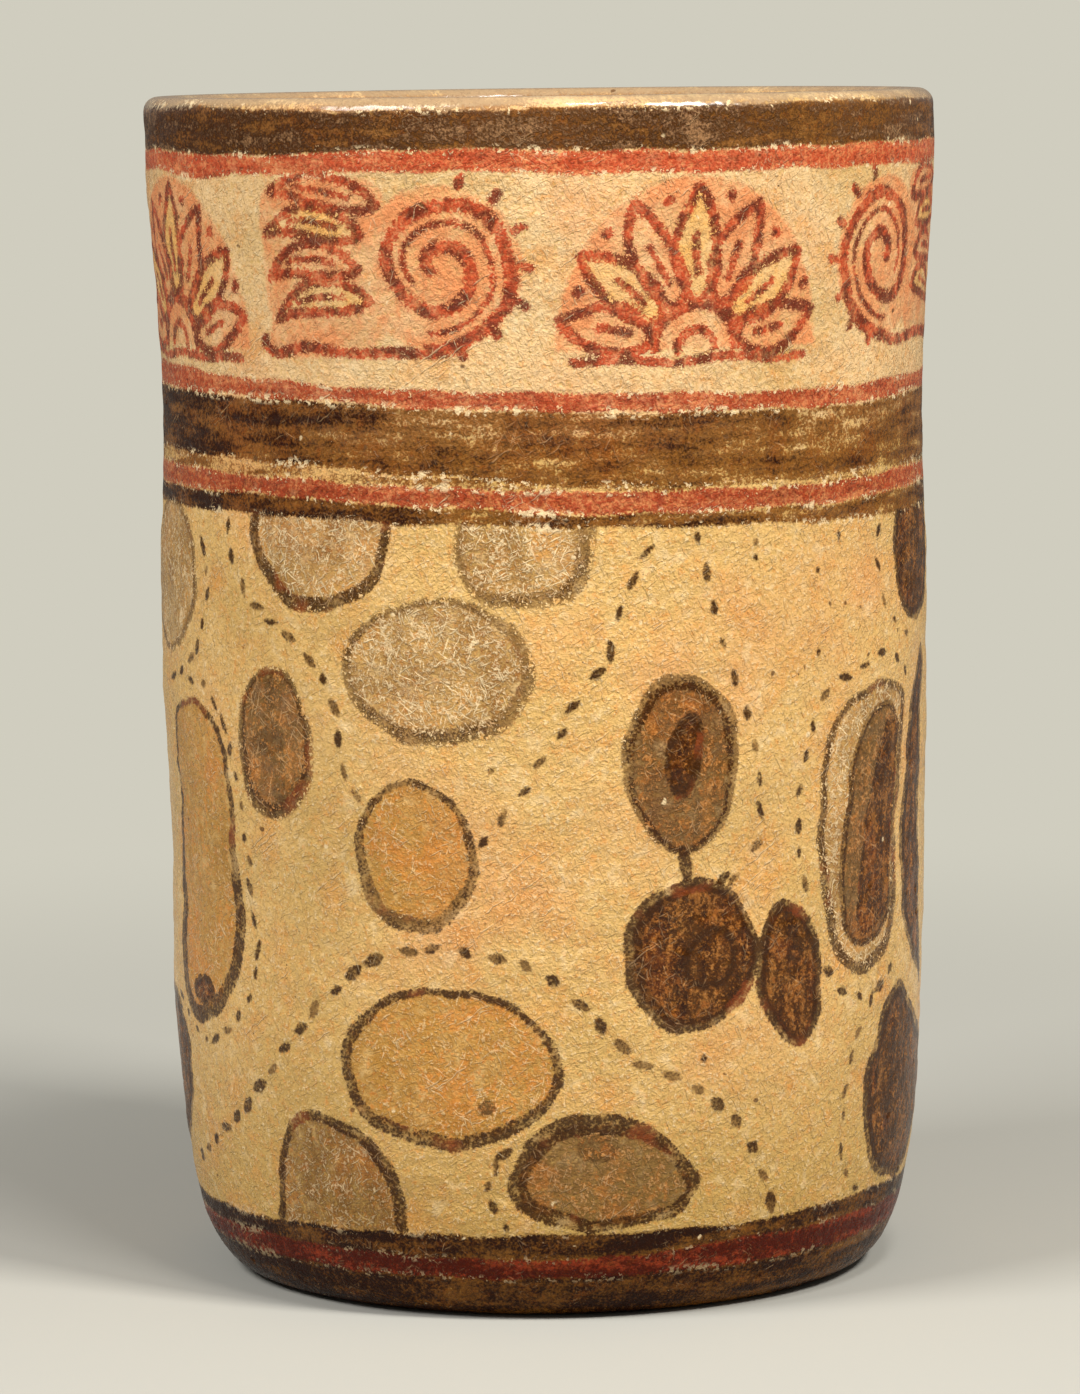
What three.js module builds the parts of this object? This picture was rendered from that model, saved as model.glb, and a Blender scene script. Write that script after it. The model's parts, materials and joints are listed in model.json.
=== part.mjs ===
// A cylinder vase of hand-built earthenware that stands on its own flat foot.
// It is built up as a potter builds it: a floor disc with its edge turned up, a heel coil,
// a stack of wall coils pinched to an even wall, and a lip coil. Each lies face to face on
// the one below. Millimetres, +Z up, origin at the centre of the foot.
import * as THREE from 'three';

// Outside shape, from the foot up
const BODY_RADIUS = 59.8; // at the belly, where the wall below the rim is widest
const FOOT_RADIUS = 43.5; // flat circle that the vase stands on
const HEEL_RISE = 58; // height over which the heel curves out into the wall
const HEEL_DRAW = 0.85; // how far inside the belly the heel's curve ends
const HEEL_TURN = 3.5; // how sharply the heel rolls up off the foot, where 2 is an ellipse
const HEEL_RUN = 2.25; // how evenly it runs into the wall, where 2 is an ellipse
const BELLY_RISE = 36; // from the heel's end to the belly
const WAIST_RISE = 44; // from the belly to the slight waist
const WAIST_DRAW = 0.5; // how far inside the belly the waist is
const RIM_RISE = 38; // from the waist to the rim, where the wall flares a little
const RIM_FLARE = 1.2; // how far outside the belly the rim is
const COLLAR_RISE = 7.2; // upright stretch from there to the top of the lip

// Thickness of the clay
const FLOOR_THICKNESS = 7;
const WALL_AT_FOOT = 7;
const WALL_AT_LIP = 5.6;
const CORNER_ROUND = 12; // inside, where the floor turns up into the wall
const LIP_ROUND = 2.4; // on both edges of the lip
const LIP_ROUND_SHARE = 0.48; // the most of the wall's thickness that one edge's round takes

// How the clay is laid
const FLOOR_EDGE_RISE = 6.6; // turned-up edge of the disc, above the floor inside
const WALL_COILS = 6;
const LIP_COIL_HEIGHT = 12;

// Fineness of the facets
const SIDES = 72;
const HEEL_STEP = 3.2; // greatest height of a facet near the heel
const WALL_STEP = 6; // and on the wall
const ROUND_STEPS = 5; // facets across each rounding

// Slips and clay, as fired and worn
const RED_BROWN_BANDS = { color: '#5b3327', roughness: 0.5 };
const BUFF_SLIP = { color: '#d8b474', roughness: 0.48 };
const BROWN_BAND = { color: '#6a4f38', roughness: 0.46 };
const CREAM_SLIP = { color: '#dcc18f', roughness: 0.5 };
const DARK_LIP = { color: '#493327', roughness: 0.42 };

// Radii and heights that follow from the sizes above
const HEEL_RADIUS = BODY_RADIUS - HEEL_DRAW;
const WAIST_RADIUS = BODY_RADIUS - WAIST_DRAW;
const RIM_RADIUS = BODY_RADIUS + RIM_FLARE;
const BELLY_HEIGHT = HEEL_RISE + BELLY_RISE;
const WAIST_HEIGHT = BELLY_HEIGHT + WAIST_RISE;
const RIM_HEIGHT = WAIST_HEIGHT + RIM_RISE;
const VESSEL_HEIGHT = RIM_HEIGHT + COLLAR_RISE;
const FLOOR_SEAM = FLOOR_THICKNESS + FLOOR_EDGE_RISE;
const LIP_SEAM = VESSEL_HEIGHT - LIP_COIL_HEIGHT;
const COIL_HEIGHT = (LIP_SEAM - FLOOR_SEAM) / (WALL_COILS + 1);

// Radius at a height on a smooth stretch that starts and ends upright
function easedRadius(height, lowHeight, lowRadius, highHeight, highRadius) {
  const along = (height - lowHeight) / (highHeight - lowHeight);
  return lowRadius + ((highRadius - lowRadius) * (1 - Math.cos(Math.PI * along))) / 2;
}

// Outside radius of the vase at a height
function outerRadius(height) {
  if (height < HEEL_RISE) {
    const left = 1 - height / HEEL_RISE;
    const swell = (1 - left ** HEEL_RUN) ** (1 / HEEL_TURN);
    return FOOT_RADIUS + (HEEL_RADIUS - FOOT_RADIUS) * swell;
  }
  if (height < BELLY_HEIGHT) {
    return easedRadius(height, HEEL_RISE, HEEL_RADIUS, BELLY_HEIGHT, BODY_RADIUS);
  }
  if (height < WAIST_HEIGHT) {
    return easedRadius(height, BELLY_HEIGHT, BODY_RADIUS, WAIST_HEIGHT, WAIST_RADIUS);
  }
  if (height < RIM_HEIGHT) {
    return easedRadius(height, WAIST_HEIGHT, WAIST_RADIUS, RIM_HEIGHT, RIM_RADIUS);
  }
  return RIM_RADIUS;
}

function wallThickness(height) {
  return THREE.MathUtils.lerp(WALL_AT_FOOT, WALL_AT_LIP, height / VESSEL_HEIGHT);
}

// Inside radius at a height, with the rounded corner above the floor
function innerRadius(height) {
  const wall = outerRadius(height) - wallThickness(height);
  const below = FLOOR_THICKNESS + CORNER_ROUND - height;
  if (below <= 0) return wall;
  return wall - CORNER_ROUND + Math.sqrt(CORNER_ROUND ** 2 - Math.min(below, CORNER_ROUND) ** 2);
}

// Heights from low to high, evenly spaced and no more than a step apart
function levels(low, high, step) {
  const count = Math.max(1, Math.ceil((high - low) / step));
  return Array.from({ length: count + 1 }, (_, i) => low + ((high - low) * i) / count);
}

// Heights that crowd towards the start, for a curve that is tightest there
function crowdedLevels(low, high, count) {
  return Array.from({ length: count + 1 }, (_, i) => low + (high - low) * (i / count) ** 2);
}

function onOutside(heights) {
  return heights.map((height) => new THREE.Vector2(outerRadius(height), height));
}

function onInside(heights) {
  return heights.map((height) => new THREE.Vector2(innerRadius(height), height)).reverse();
}

// Turns a profile of radius and height into a solid of revolution about +Z
function turned(profile) {
  return new THREE.LatheGeometry(profile, SIDES).rotateX(Math.PI / 2);
}

// A closed ring between two level seams
function coil(low, high, step) {
  const heights = levels(low, high, step);
  const profile = [...onOutside(heights), ...onInside(heights)];
  return turned([...profile, profile[0].clone()]);
}

// The disc closes on the axis, above and below
function floorDisc() {
  const outside = onOutside(crowdedLevels(0, FLOOR_SEAM, 2 * ROUND_STEPS));
  const inside = onInside(crowdedLevels(FLOOR_THICKNESS, FLOOR_SEAM, ROUND_STEPS));
  const underside = new THREE.Vector2(0, 0);
  const floor = new THREE.Vector2(0, FLOOR_THICKNESS);
  return turned([underside, ...outside, ...inside, floor]);
}

// The quarter circle over one edge of the lip, starting at a given angle
function lipEdge(radius, height, round, startAngle) {
  return Array.from({ length: ROUND_STEPS + 1 }, (_, i) => {
    const angle = startAngle + (Math.PI / 2) * (i / ROUND_STEPS);
    return new THREE.Vector2(radius + round * Math.cos(angle), height + round * Math.sin(angle));
  });
}

// The lip coil is upright, with both of its edges rounded over
function lipCoil() {
  const outer = outerRadius(VESSEL_HEIGHT);
  const inner = innerRadius(VESSEL_HEIGHT);
  const round = Math.min(LIP_ROUND, LIP_ROUND_SHARE * (outer - inner));
  const shoulder = VESSEL_HEIGHT - round;
  const heights = levels(LIP_SEAM, shoulder, WALL_STEP).slice(0, -1);
  const profile = [
    ...onOutside(heights),
    ...lipEdge(outer - round, shoulder, round, 0),
    ...lipEdge(inner + round, shoulder, round, Math.PI / 2),
    ...onInside(heights),
  ];
  return turned([...profile, profile[0].clone()]);
}

const vase = new THREE.Group();

function addPiece(name, geometry, finish) {
  const piece = new THREE.Mesh(geometry, new THREE.MeshStandardMaterial({ ...finish, metalness: 0 }));
  piece.name = name;
  vase.add(piece);
}

// The slip that shows most on a wall coil: cream below the lip, then the brown band, then buff
function slipOf(number) {
  if (number === WALL_COILS) return CREAM_SLIP;
  return number === WALL_COILS - 1 ? BROWN_BAND : BUFF_SLIP;
}

addPiece('floor_disc', floorDisc(), RED_BROWN_BANDS);
addPiece('heel_coil', coil(FLOOR_SEAM, FLOOR_SEAM + COIL_HEIGHT, HEEL_STEP), BUFF_SLIP);
for (let number = 1; number <= WALL_COILS; number += 1) {
  const low = FLOOR_SEAM + number * COIL_HEIGHT;
  addPiece(`wall_coil_${number}`, coil(low, low + COIL_HEIGHT, WALL_STEP), slipOf(number));
}
addPiece('lip_coil', lipCoil(), DARK_LIP);

export default vase;
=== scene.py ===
"""A hand-built cylinder vase of slip-painted earthenware, shaped whole, painted, then cut at its seams.

The picture plane of the paint is the outside wall rolled flat: x runs round the vase in
millimetres on a 60 mm radius, from 0 at the front (-Y), and z is the height.
"""
import functools
import json
import math

import bpy
import numpy as np
from bpy.props import FloatProperty, FloatVectorProperty, IntProperty, PointerProperty
from mathutils import Matrix, Vector


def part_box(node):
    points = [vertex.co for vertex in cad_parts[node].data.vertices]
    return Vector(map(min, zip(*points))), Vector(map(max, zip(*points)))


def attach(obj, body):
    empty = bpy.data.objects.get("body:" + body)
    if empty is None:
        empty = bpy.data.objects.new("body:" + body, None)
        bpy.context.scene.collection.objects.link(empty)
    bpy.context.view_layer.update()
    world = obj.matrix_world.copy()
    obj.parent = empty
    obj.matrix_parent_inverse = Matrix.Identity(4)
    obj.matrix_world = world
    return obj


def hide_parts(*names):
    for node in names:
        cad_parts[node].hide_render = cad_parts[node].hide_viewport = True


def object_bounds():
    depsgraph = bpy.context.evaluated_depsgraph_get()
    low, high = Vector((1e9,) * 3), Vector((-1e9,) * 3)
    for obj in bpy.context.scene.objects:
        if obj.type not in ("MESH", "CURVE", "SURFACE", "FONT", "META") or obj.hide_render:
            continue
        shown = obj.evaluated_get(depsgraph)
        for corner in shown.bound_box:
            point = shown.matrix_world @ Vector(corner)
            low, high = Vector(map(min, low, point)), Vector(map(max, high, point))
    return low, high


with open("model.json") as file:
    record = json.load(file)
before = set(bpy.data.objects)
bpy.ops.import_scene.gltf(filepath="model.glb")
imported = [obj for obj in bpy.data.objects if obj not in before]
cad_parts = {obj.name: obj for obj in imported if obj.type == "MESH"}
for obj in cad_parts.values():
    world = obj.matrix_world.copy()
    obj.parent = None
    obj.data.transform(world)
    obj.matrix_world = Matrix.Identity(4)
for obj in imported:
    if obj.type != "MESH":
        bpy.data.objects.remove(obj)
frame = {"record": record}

bl_info = {
    "name": "Painted cylinder vase",
    "version": (1, 0, 0),
    "blender": (4, 5, 0),
    "location": "View3D > Sidebar > Vase",
    "description": "Builds a slip-painted earthenware cylinder vase on its packed CAD frame",
    "category": "Add Mesh",
}

CAD_BOX = [list(corner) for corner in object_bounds()]
MM = 0.001  # metres in a millimetre
PAINT_RADIUS = 60.0  # mm, the radius on which the paint's x is measured
TURN = 2 * math.pi * PAINT_RADIUS  # mm, once round the vase
COIL_NODES = ["heel_coil"] + [f"wall_coil_{number}" for number in range(1, 7)]


# Sizes, colours and stage, as a user would change them

def size(name, text, millimetres):
    return FloatProperty(name=name, description=text, default=millimetres * MM, unit="LENGTH", precision=5)


def ratio(name, text, default):
    return FloatProperty(name=name, description=text, default=default)


def colour(name, text, red, green, blue):
    return FloatVectorProperty(
        name=name, description=text, default=(red / 255, green / 255, blue / 255),
        size=3, min=0, max=1, subtype="COLOR_GAMMA",
    )


class VaseShape(bpy.types.PropertyGroup):
    body_radius: size("Body radius", "Outside radius at the belly", 59.8)
    foot_radius: size("Foot radius", "Radius of the flat circle underneath", 43.5)
    heel_rise: size("Heel rise", "Height over which the heel curves out into the wall", 58)
    heel_draw: size("Heel draw", "How far inside the belly the heel's curve ends", 0.85)
    heel_turn: ratio("Heel turn", "How sharply the heel rolls up off the foot", 3.5)
    heel_run: ratio("Heel run", "How evenly the heel runs into the wall", 2.25)
    belly_rise: size("Belly rise", "From the heel's end to the belly", 36)
    waist_rise: size("Waist rise", "From the belly to the waist", 44)
    waist_draw: size("Waist draw", "How far inside the belly the waist is", 0.5)
    rim_rise: size("Rim rise", "From the waist to the rim", 38)
    rim_flare: size("Rim flare", "How far outside the belly the rim is", 1.2)
    floor_thickness: size("Floor thickness", "Thickness of the floor", 7)
    wall_at_foot: size("Wall at foot", "Thickness of the wall at the foot", 7)
    wall_at_lip: size("Wall at lip", "Thickness of the wall at the lip", 5.6)
    corner_round: size("Corner round", "Inside round from the floor into the wall", 12)
    lip_round: size("Lip round", "Round on both edges of the lip", 2.4)
    waviness: size("Waviness", "How far the hand-built wall strays in and out", 0.7)
    scrape: size("Scrape", "Depth of the facets left by scraping", 0.26)
    pitting: size("Pitting", "Depth of the small pits", 0.25)
    wrinkle: size("Wrinkle", "Height of the fine wrinkles of the burnished slip", 0.12)
    columns: IntProperty(name="Columns", description="Facets round the vase", default=960, min=24)
    row_pitch: size("Row pitch", "Height of the facets outside", 0.39)
    inside_pitch: size("Inside pitch", "Height of the facets inside", 1.25)
    floor_pitch: size("Floor pitch", "Width of the facets of the floor", 4)


class VaseColours(bpy.types.PropertyGroup):
    buff: colour("Buff slip", "Field of the body", 224, 181, 112)
    cream: colour("Cream slip", "Register below the rim", 232, 192, 138)
    orange: colour("Orange stain", "Iron stains in the slip", 220, 142, 62)
    olive: colour("Olive stain", "Greenish clouds in the slip", 196, 158, 88)
    bloom: colour("Pale bloom", "Scratches and worn flecks", 244, 216, 168)
    earth: colour("Earth", "Dirt left in pits and hollows", 104, 70, 38)
    brown: colour("Brown paint", "Outlines and dabs, thickly laid", 60, 29, 0)
    grey_brown: colour("Grey-brown paint", "Outlines where the paint fired grey", 130, 95, 50)
    russet: colour("Russet paint", "Outlines where the paint fired red", 122, 56, 20)
    red: colour("Red paint", "Red bands", 192, 74, 40)
    deep_red: colour("Deep red paint", "Red band at the foot", 82, 18, 0)
    wine: colour("Wine paint", "Lines of the frieze", 108, 38, 22)
    pink: colour("Pink wash", "Warm wash of the frieze", 230, 146, 92)
    ochre: colour("Ochre wash", "Yellow wash of the frieze", 238, 178, 100)
    band_film: colour("Band film", "Thin brown of the bands, as it darkens what it covers", 158, 127, 90)
    dark_film: colour("Dark film", "Thick brown, as it darkens what it covers", 92, 64, 20)
    grey_film: colour("Grey-brown film", "Fill of grey spots, as it darkens what it covers", 164, 142, 118)
    ochre_film: colour("Ochre film", "Fill of ochre spots, as it darkens what it covers", 212, 188, 134)
    # Grey of the lip's top: wear, and partly a painted sheen
    rubbed: colour("Rubbed lip", "Lip worn grey by hands", 186, 162, 126)
    clay: colour("Bare clay", "Inside, underneath and where the rim is worn", 186, 138, 92)
    deposit: colour("Deposit", "Dark deposit inside", 104, 76, 50)


class VaseStage(bpy.types.PropertyGroup):
    floor: colour("Floor", "Plain pale floor", 182, 180, 171)
    sky: colour("Backdrop", "What the camera sees beyond the floor", 208, 205, 191)
    camera_distance: size("Camera distance", "From the vase's axis", 940)
    camera_height: size("Camera height", "Above the floor", 193)
    aim_height: size("Aim height", "Height in the middle of the picture", 88.6)
    aim_left: size("Aim left", "How far left of the axis the middle of the picture is", 0.9)
    focal_ratio: ratio("Focal ratio", "Focal length in picture heights", 4.319)
    camera_roll: FloatProperty(
        name="Camera roll", description="Turn about the line of sight",
        default=math.radians(0.7), subtype="ANGLE",
    )


# Small helpers for node trees

def linear(colour_value):
    """Scene-linear RGBA of a display colour."""
    channels = [c / 12.92 if c <= 0.04045 else ((c + 0.055) / 1.055) ** 2.4 for c in colour_value]
    return (*channels, 1.0)


def put(tree, kind, inputs=None, **settings):
    """Adds a node, then sets or links its inputs, given by name or number."""
    node = tree.nodes.new(kind)
    for name, value in settings.items():
        setattr(node, name, value)
    for key, value in (inputs or {}).items():
        if isinstance(value, Number):
            value = value.socket
        if isinstance(value, bpy.types.NodeSocket):
            tree.links.new(value, node.inputs[key])
        else:
            node.inputs[key].default_value = value
    return node


class Number:
    """A number that varies from place to place. Arithmetic with it adds nodes to its tree."""

    def __init__(self, socket):
        self.socket = socket

    def worked(self, operation, first, second=0.0):
        node = put(self.socket.id_data, "ShaderNodeMath", {0: first, 1: second}, operation=operation)
        return Number(node.outputs[0])

    def __add__(self, other):
        return self.worked("ADD", self, other)

    def __sub__(self, other):
        return self.worked("SUBTRACT", self, other)

    def __rsub__(self, other):
        return self.worked("SUBTRACT", other, self)

    def __mul__(self, other):
        return self.worked("MULTIPLY", self, other)

    def __abs__(self):
        return self.worked("ABSOLUTE", self)

    def least(self, other):
        return self.worked("MINIMUM", self, other)

    def most(self, other):
        return self.worked("MAXIMUM", self, other)

    def ramp(self, low, high, start=0.0, end=1.0, smooth=True):
        """Goes from start to end as the number goes from low to high."""
        node = put(
            self.socket.id_data, "ShaderNodeMapRange",
            {"Value": self, "From Min": low, "From Max": high, "To Min": start, "To Max": end},
            interpolation_type="SMOOTHSTEP" if smooth else "LINEAR",
        )
        return Number(node.outputs["Result"])


def vectors(operation, first, second):
    node = put(first.id_data, "ShaderNodeVectorMath", {0: first, 1: second}, operation=operation)
    return node.outputs[0]


def scaled(vector, factor):
    node = put(vector.id_data, "ShaderNodeVectorMath", {0: vector, "Scale": factor}, operation="SCALE")
    return node.outputs[0]


def parts(vector):
    """The three numbers of a vector."""
    node = put(vector.id_data, "ShaderNodeSeparateXYZ", {0: vector})
    return [Number(socket) for socket in node.outputs]


def noise(vector, grain, detail=2.0, rough=0.5, contrast=2.4, seed=0, warp=0.0):
    """Noise from about 0 to 1 whose blotches are about `grain` mm across."""
    moved = vectors("ADD", vector, (seed * 7, seed * 11, seed * 13))
    node = put(
        vector.id_data, "ShaderNodeTexNoise",
        {"Vector": moved, "Scale": 1 / grain, "Detail": detail, "Roughness": rough, "Distortion": warp},
    )
    return Number(node.outputs[0]).ramp(0.5 - 0.5 / contrast, 0.5 + 0.5 / contrast, smooth=False)


def specks(vector, spacing, radius, softness=0.3):
    """Scattered round marks of about `radius` mm, one to each cell of `spacing` mm."""
    node = put(vector.id_data, "ShaderNodeTexVoronoi", {"Vector": vector, "Scale": 1 / spacing})
    near = radius / spacing
    return Number(node.outputs["Distance"]).ramp(near * (1 - softness), near * (1 + softness), 1.0, 0.0)


def new_group(name, inputs, outputs, kind="ShaderNodeTree"):
    """A node group with (name, type, default) inputs and (name, type) outputs, and its inner sockets."""
    group = bpy.data.node_groups.new(name, kind)
    for label, socket_type, *default in inputs:
        socket = group.interface.new_socket(label, in_out="INPUT", socket_type="NodeSocket" + socket_type)
        if default:
            socket.default_value = default[0]
    for label, socket_type in outputs:
        group.interface.new_socket(label, in_out="OUTPUT", socket_type="NodeSocket" + socket_type)
    return group, group.nodes.new("NodeGroupInput").outputs, group.nodes.new("NodeGroupOutput").inputs


def new_modifier_tree(name, geometry, numbers, made):
    """A Geometry Nodes tree with its named inputs, of which the last is the material."""
    inputs = [(geometry, "Geometry"), *numbers, ("Material", "Material")]
    tree, given, result = new_group(name, inputs, [(made, "Geometry")], "GeometryNodeTree")
    tree.is_modifier = True
    return tree, given, result


def end_modifier_tree(tree, geometry, given, result):
    """Makes the instances real, sets the material and puts the geometry out."""
    plain = put(tree, "GeometryNodeRealizeInstances", {"Geometry": geometry})
    coated = put(
        tree, "GeometryNodeSetMaterial", {"Geometry": plain.outputs[0], "Material": given["Material"]}
    )
    tree.links.new(coated.outputs[0], result[0])


def run_tree(mesh, tree, values):
    """The plain mesh that a Geometry Nodes tree makes from a mesh and its named inputs."""
    carrier = bpy.data.objects.new(tree.name, mesh)
    bpy.context.scene.collection.objects.link(carrier)
    modifier = carrier.modifiers.new(tree.name, "NODES")
    modifier.node_group = tree
    sockets = {item.name: item.identifier for item in tree.interface.items_tree if item.in_out == "INPUT"}
    for name, value in values.items():
        modifier[sockets[name]] = value
    evaluated = carrier.evaluated_get(bpy.context.evaluated_depsgraph_get())
    made = bpy.data.meshes.new_from_object(evaluated)
    carrier.modifiers.clear()
    bpy.data.objects.remove(carrier)
    return made


# The shape of the body

HEEL_ROWS = 57  # rows of facets from the foot to the first seam, crowded towards the foot
ROUND_STEPS = 12  # facets across each round of the lip
CORNER_ROWS = 12  # rows down the inside corner of the floor


def eased(height, low_height, low_radius, high_height, high_radius):
    """Radius on a smooth stretch that starts and ends upright."""
    along = (height - low_height) / (high_height - low_height)
    return low_radius + (high_radius - low_radius) * (1 - np.cos(np.pi * along)) / 2


def outside_radius(shape, height):
    """Outside radius at each height, in metres."""
    height = np.asarray(height, float)
    heel_radius = shape.body_radius - shape.heel_draw
    waist_radius = shape.body_radius - shape.waist_draw
    rim_radius = shape.body_radius + shape.rim_flare
    belly = shape.heel_rise + shape.belly_rise
    waist = belly + shape.waist_rise
    rim = waist + shape.rim_rise
    left = 1 - np.clip(height / shape.heel_rise, 0, 1)
    swell = (1 - left ** shape.heel_run) ** (1 / shape.heel_turn)
    radius = shape.foot_radius + (heel_radius - shape.foot_radius) * swell
    for low, low_radius, high, high_radius in (
        (shape.heel_rise, heel_radius, belly, shape.body_radius),
        (belly, shape.body_radius, waist, waist_radius),
        (waist, waist_radius, rim, rim_radius),
    ):
        radius = np.where(height >= low, eased(height, low, low_radius, high, high_radius), radius)
    return np.where(height >= rim, rim_radius, radius)


def inside_radius(shape, height, top):
    """Inside radius at each height, with the rounded corner above the floor."""
    height = np.asarray(height, float)
    thickness = shape.wall_at_foot + (shape.wall_at_lip - shape.wall_at_foot) * height / top
    wall = outside_radius(shape, height) - thickness
    below = np.clip(shape.floor_thickness + shape.corner_round - height, 0, shape.corner_round)
    return wall - shape.corner_round + np.sqrt(shape.corner_round ** 2 - below ** 2)


def evenly(low, high, pitch):
    """Steps from low to high no longer than the pitch, without the last."""
    count = max(1, math.ceil(abs(high - low) / pitch))
    return np.linspace(low, high, count + 1)[:-1]


def body_profile(shape, seams):
    """Rows of the whole body from the middle of the underside to the middle of the floor inside.

    Gives each row's radius and height, and the rows that lie on the seams, outside and inside.
    """
    top = CAD_BOX[1][2]
    shoulder = top - shape.lip_round
    rows, outside_seams, inside_seams = [], [], []

    def lay(radii, heights):
        rows.extend(zip(np.broadcast_to(radii, np.shape(heights)), heights))

    foot = evenly(0, shape.foot_radius, shape.floor_pitch)
    lay(foot, np.zeros(len(foot)))
    heel = seams[0] * np.linspace(0, 1, HEEL_ROWS + 1)[:-1] ** 2
    lay(outside_radius(shape, heel), heel)
    for low, high in zip(seams, seams[1:] + [shoulder]):
        outside_seams.append(len(rows))
        heights = evenly(low, high, shape.row_pitch)
        lay(outside_radius(shape, heights), heights)
    outer, inner = float(outside_radius(shape, top)), float(inside_radius(shape, top, top))
    for centre, first in ((outer - shape.lip_round, 0), (inner + shape.lip_round, math.pi / 2)):
        angles = first + np.linspace(0, math.pi / 2, ROUND_STEPS + 1)
        lay(centre + shape.lip_round * np.cos(angles), shoulder + shape.lip_round * np.sin(angles))
    rows.pop()
    for high, low in zip([shoulder] + seams[::-1], seams[::-1]):
        heights = evenly(high, low, shape.inside_pitch)
        lay(inside_radius(shape, heights, top), heights)
        inside_seams.append(len(rows))
    rise = seams[0] - shape.floor_thickness
    corner = shape.floor_thickness + rise * np.linspace(1, 0, CORNER_ROWS) ** 2
    lay(inside_radius(shape, corner, top), corner)
    floor = evenly(float(inside_radius(shape, shape.floor_thickness, top)), 0, shape.floor_pitch)[1:]
    lay(floor, np.full(len(floor), shape.floor_thickness))
    rows.append((0.0, shape.floor_thickness))
    radius, height = np.array(rows, float).T
    return radius, height, outside_seams, inside_seams[::-1]


def turned_body_tree():
    """Turns a profile about the axis and gives it the unevenness of work done by hand."""
    numbers = [("Columns", "Int", 960)]
    numbers += [(name, "Float", 0.0) for name in ("Axis Radius", "Waviness", "Scrape", "Pitting", "Wrinkle")]
    tree, given, result = new_modifier_tree("turned_body", "Profile", numbers, "Body")

    def stored(geometry, name, value, kind):
        return put(
            tree, "GeometryNodeStoreNamedAttribute", {"Geometry": geometry, "Name": name, "Value": value},
            data_type=kind, domain="POINT",
        ).outputs[0]

    def numbered(geometry, name):
        return stored(geometry, name, put(tree, "GeometryNodeInputIndex").outputs[0], "INT")

    profile = put(tree, "GeometryNodeMeshToCurve", {"Mesh": numbered(given["Profile"], "row")})
    circle = put(
        tree, "GeometryNodeCurvePrimitiveCircle",
        {"Resolution": given["Columns"], "Radius": given["Axis Radius"]}, mode="RADIUS",
    )
    columns = numbered(circle.outputs[0], "column")
    standing = put(tree, "GeometryNodeSetCurveNormal", {"Curve": columns}, mode="Z_UP")
    body = put(
        tree, "GeometryNodeCurveToMesh", {"Curve": standing.outputs[0], "Profile Curve": profile.outputs[0]}
    ).outputs[0]

    # Mottling of the slip and streaks of the brush, from about 0 to 1
    place = put(tree, "GeometryNodeInputPosition").outputs[0]
    mm = scaled(place, 1 / MM)
    patches = noise(mm, 9, 3, 0.55, seed=1)
    level = vectors("MULTIPLY", mm, (0.14, 0.14, 1.0))
    upright = vectors("MULTIPLY", mm, (1.0, 1.0, 0.18))
    wiped = vectors("MULTIPLY", mm, (0.12, 0.12, 1.0))
    mottling = {
        "slip_clouds": (noise(mm, 28, contrast=2.2), patches, noise(mm, 2.8, 3, 0.6, seed=2, warp=0.6)),
        "streaks": (
            noise(level, 1.8, 2, 0.6, seed=5), noise(upright, 1.8, 2, 0.6, seed=6),
            noise(wiped, 2.2, 3, contrast=2.2, seed=8),
        ),
    }
    for name, values in mottling.items():
        vector = put(tree, "ShaderNodeCombineXYZ", dict(enumerate(values))).outputs[0]
        body = stored(body, name, vector, "FLOAT_VECTOR")

    # The wall strays in and out, and has facets, wrinkles and pits
    x, y, height = parts(place)
    long_facets = vectors("MULTIPLY", mm, (0.35, 0.35, 1))
    offset = (noise(mm, 34, 1, seed=10) - 0.5) * given["Waviness"]
    offset = offset + (noise(long_facets, 7, 2, seed=11) - 0.5) * given["Scrape"]
    offset = offset + (noise(mm, 2.2, 3, seed=12) - 0.5) * given["Wrinkle"]
    offset = offset - specks(mm, 4.2, 0.45, 0.5) * patches.ramp(0.5, 0.7) * given["Pitting"]
    offset = offset * height.ramp(0.4 * MM, 4 * MM)
    flat = put(tree, "ShaderNodeCombineXYZ", {"X": x, "Y": y}).outputs[0]
    radial = put(tree, "ShaderNodeVectorMath", {0: flat}, operation="NORMALIZE").outputs[0]
    moved = put(tree, "GeometryNodeSetPosition", {"Geometry": body, "Offset": scaled(radial, offset)})
    end_modifier_tree(tree, moved.outputs[0], given, result)
    return tree


def read_points(mesh, name, field, width, kind):
    """The values of one of a mesh's point attributes."""
    values = np.zeros(len(mesh.vertices) * width, kind)
    mesh.attributes[name].data.foreach_get(field, values)
    return values if width == 1 else values.reshape(-1, width)


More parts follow.
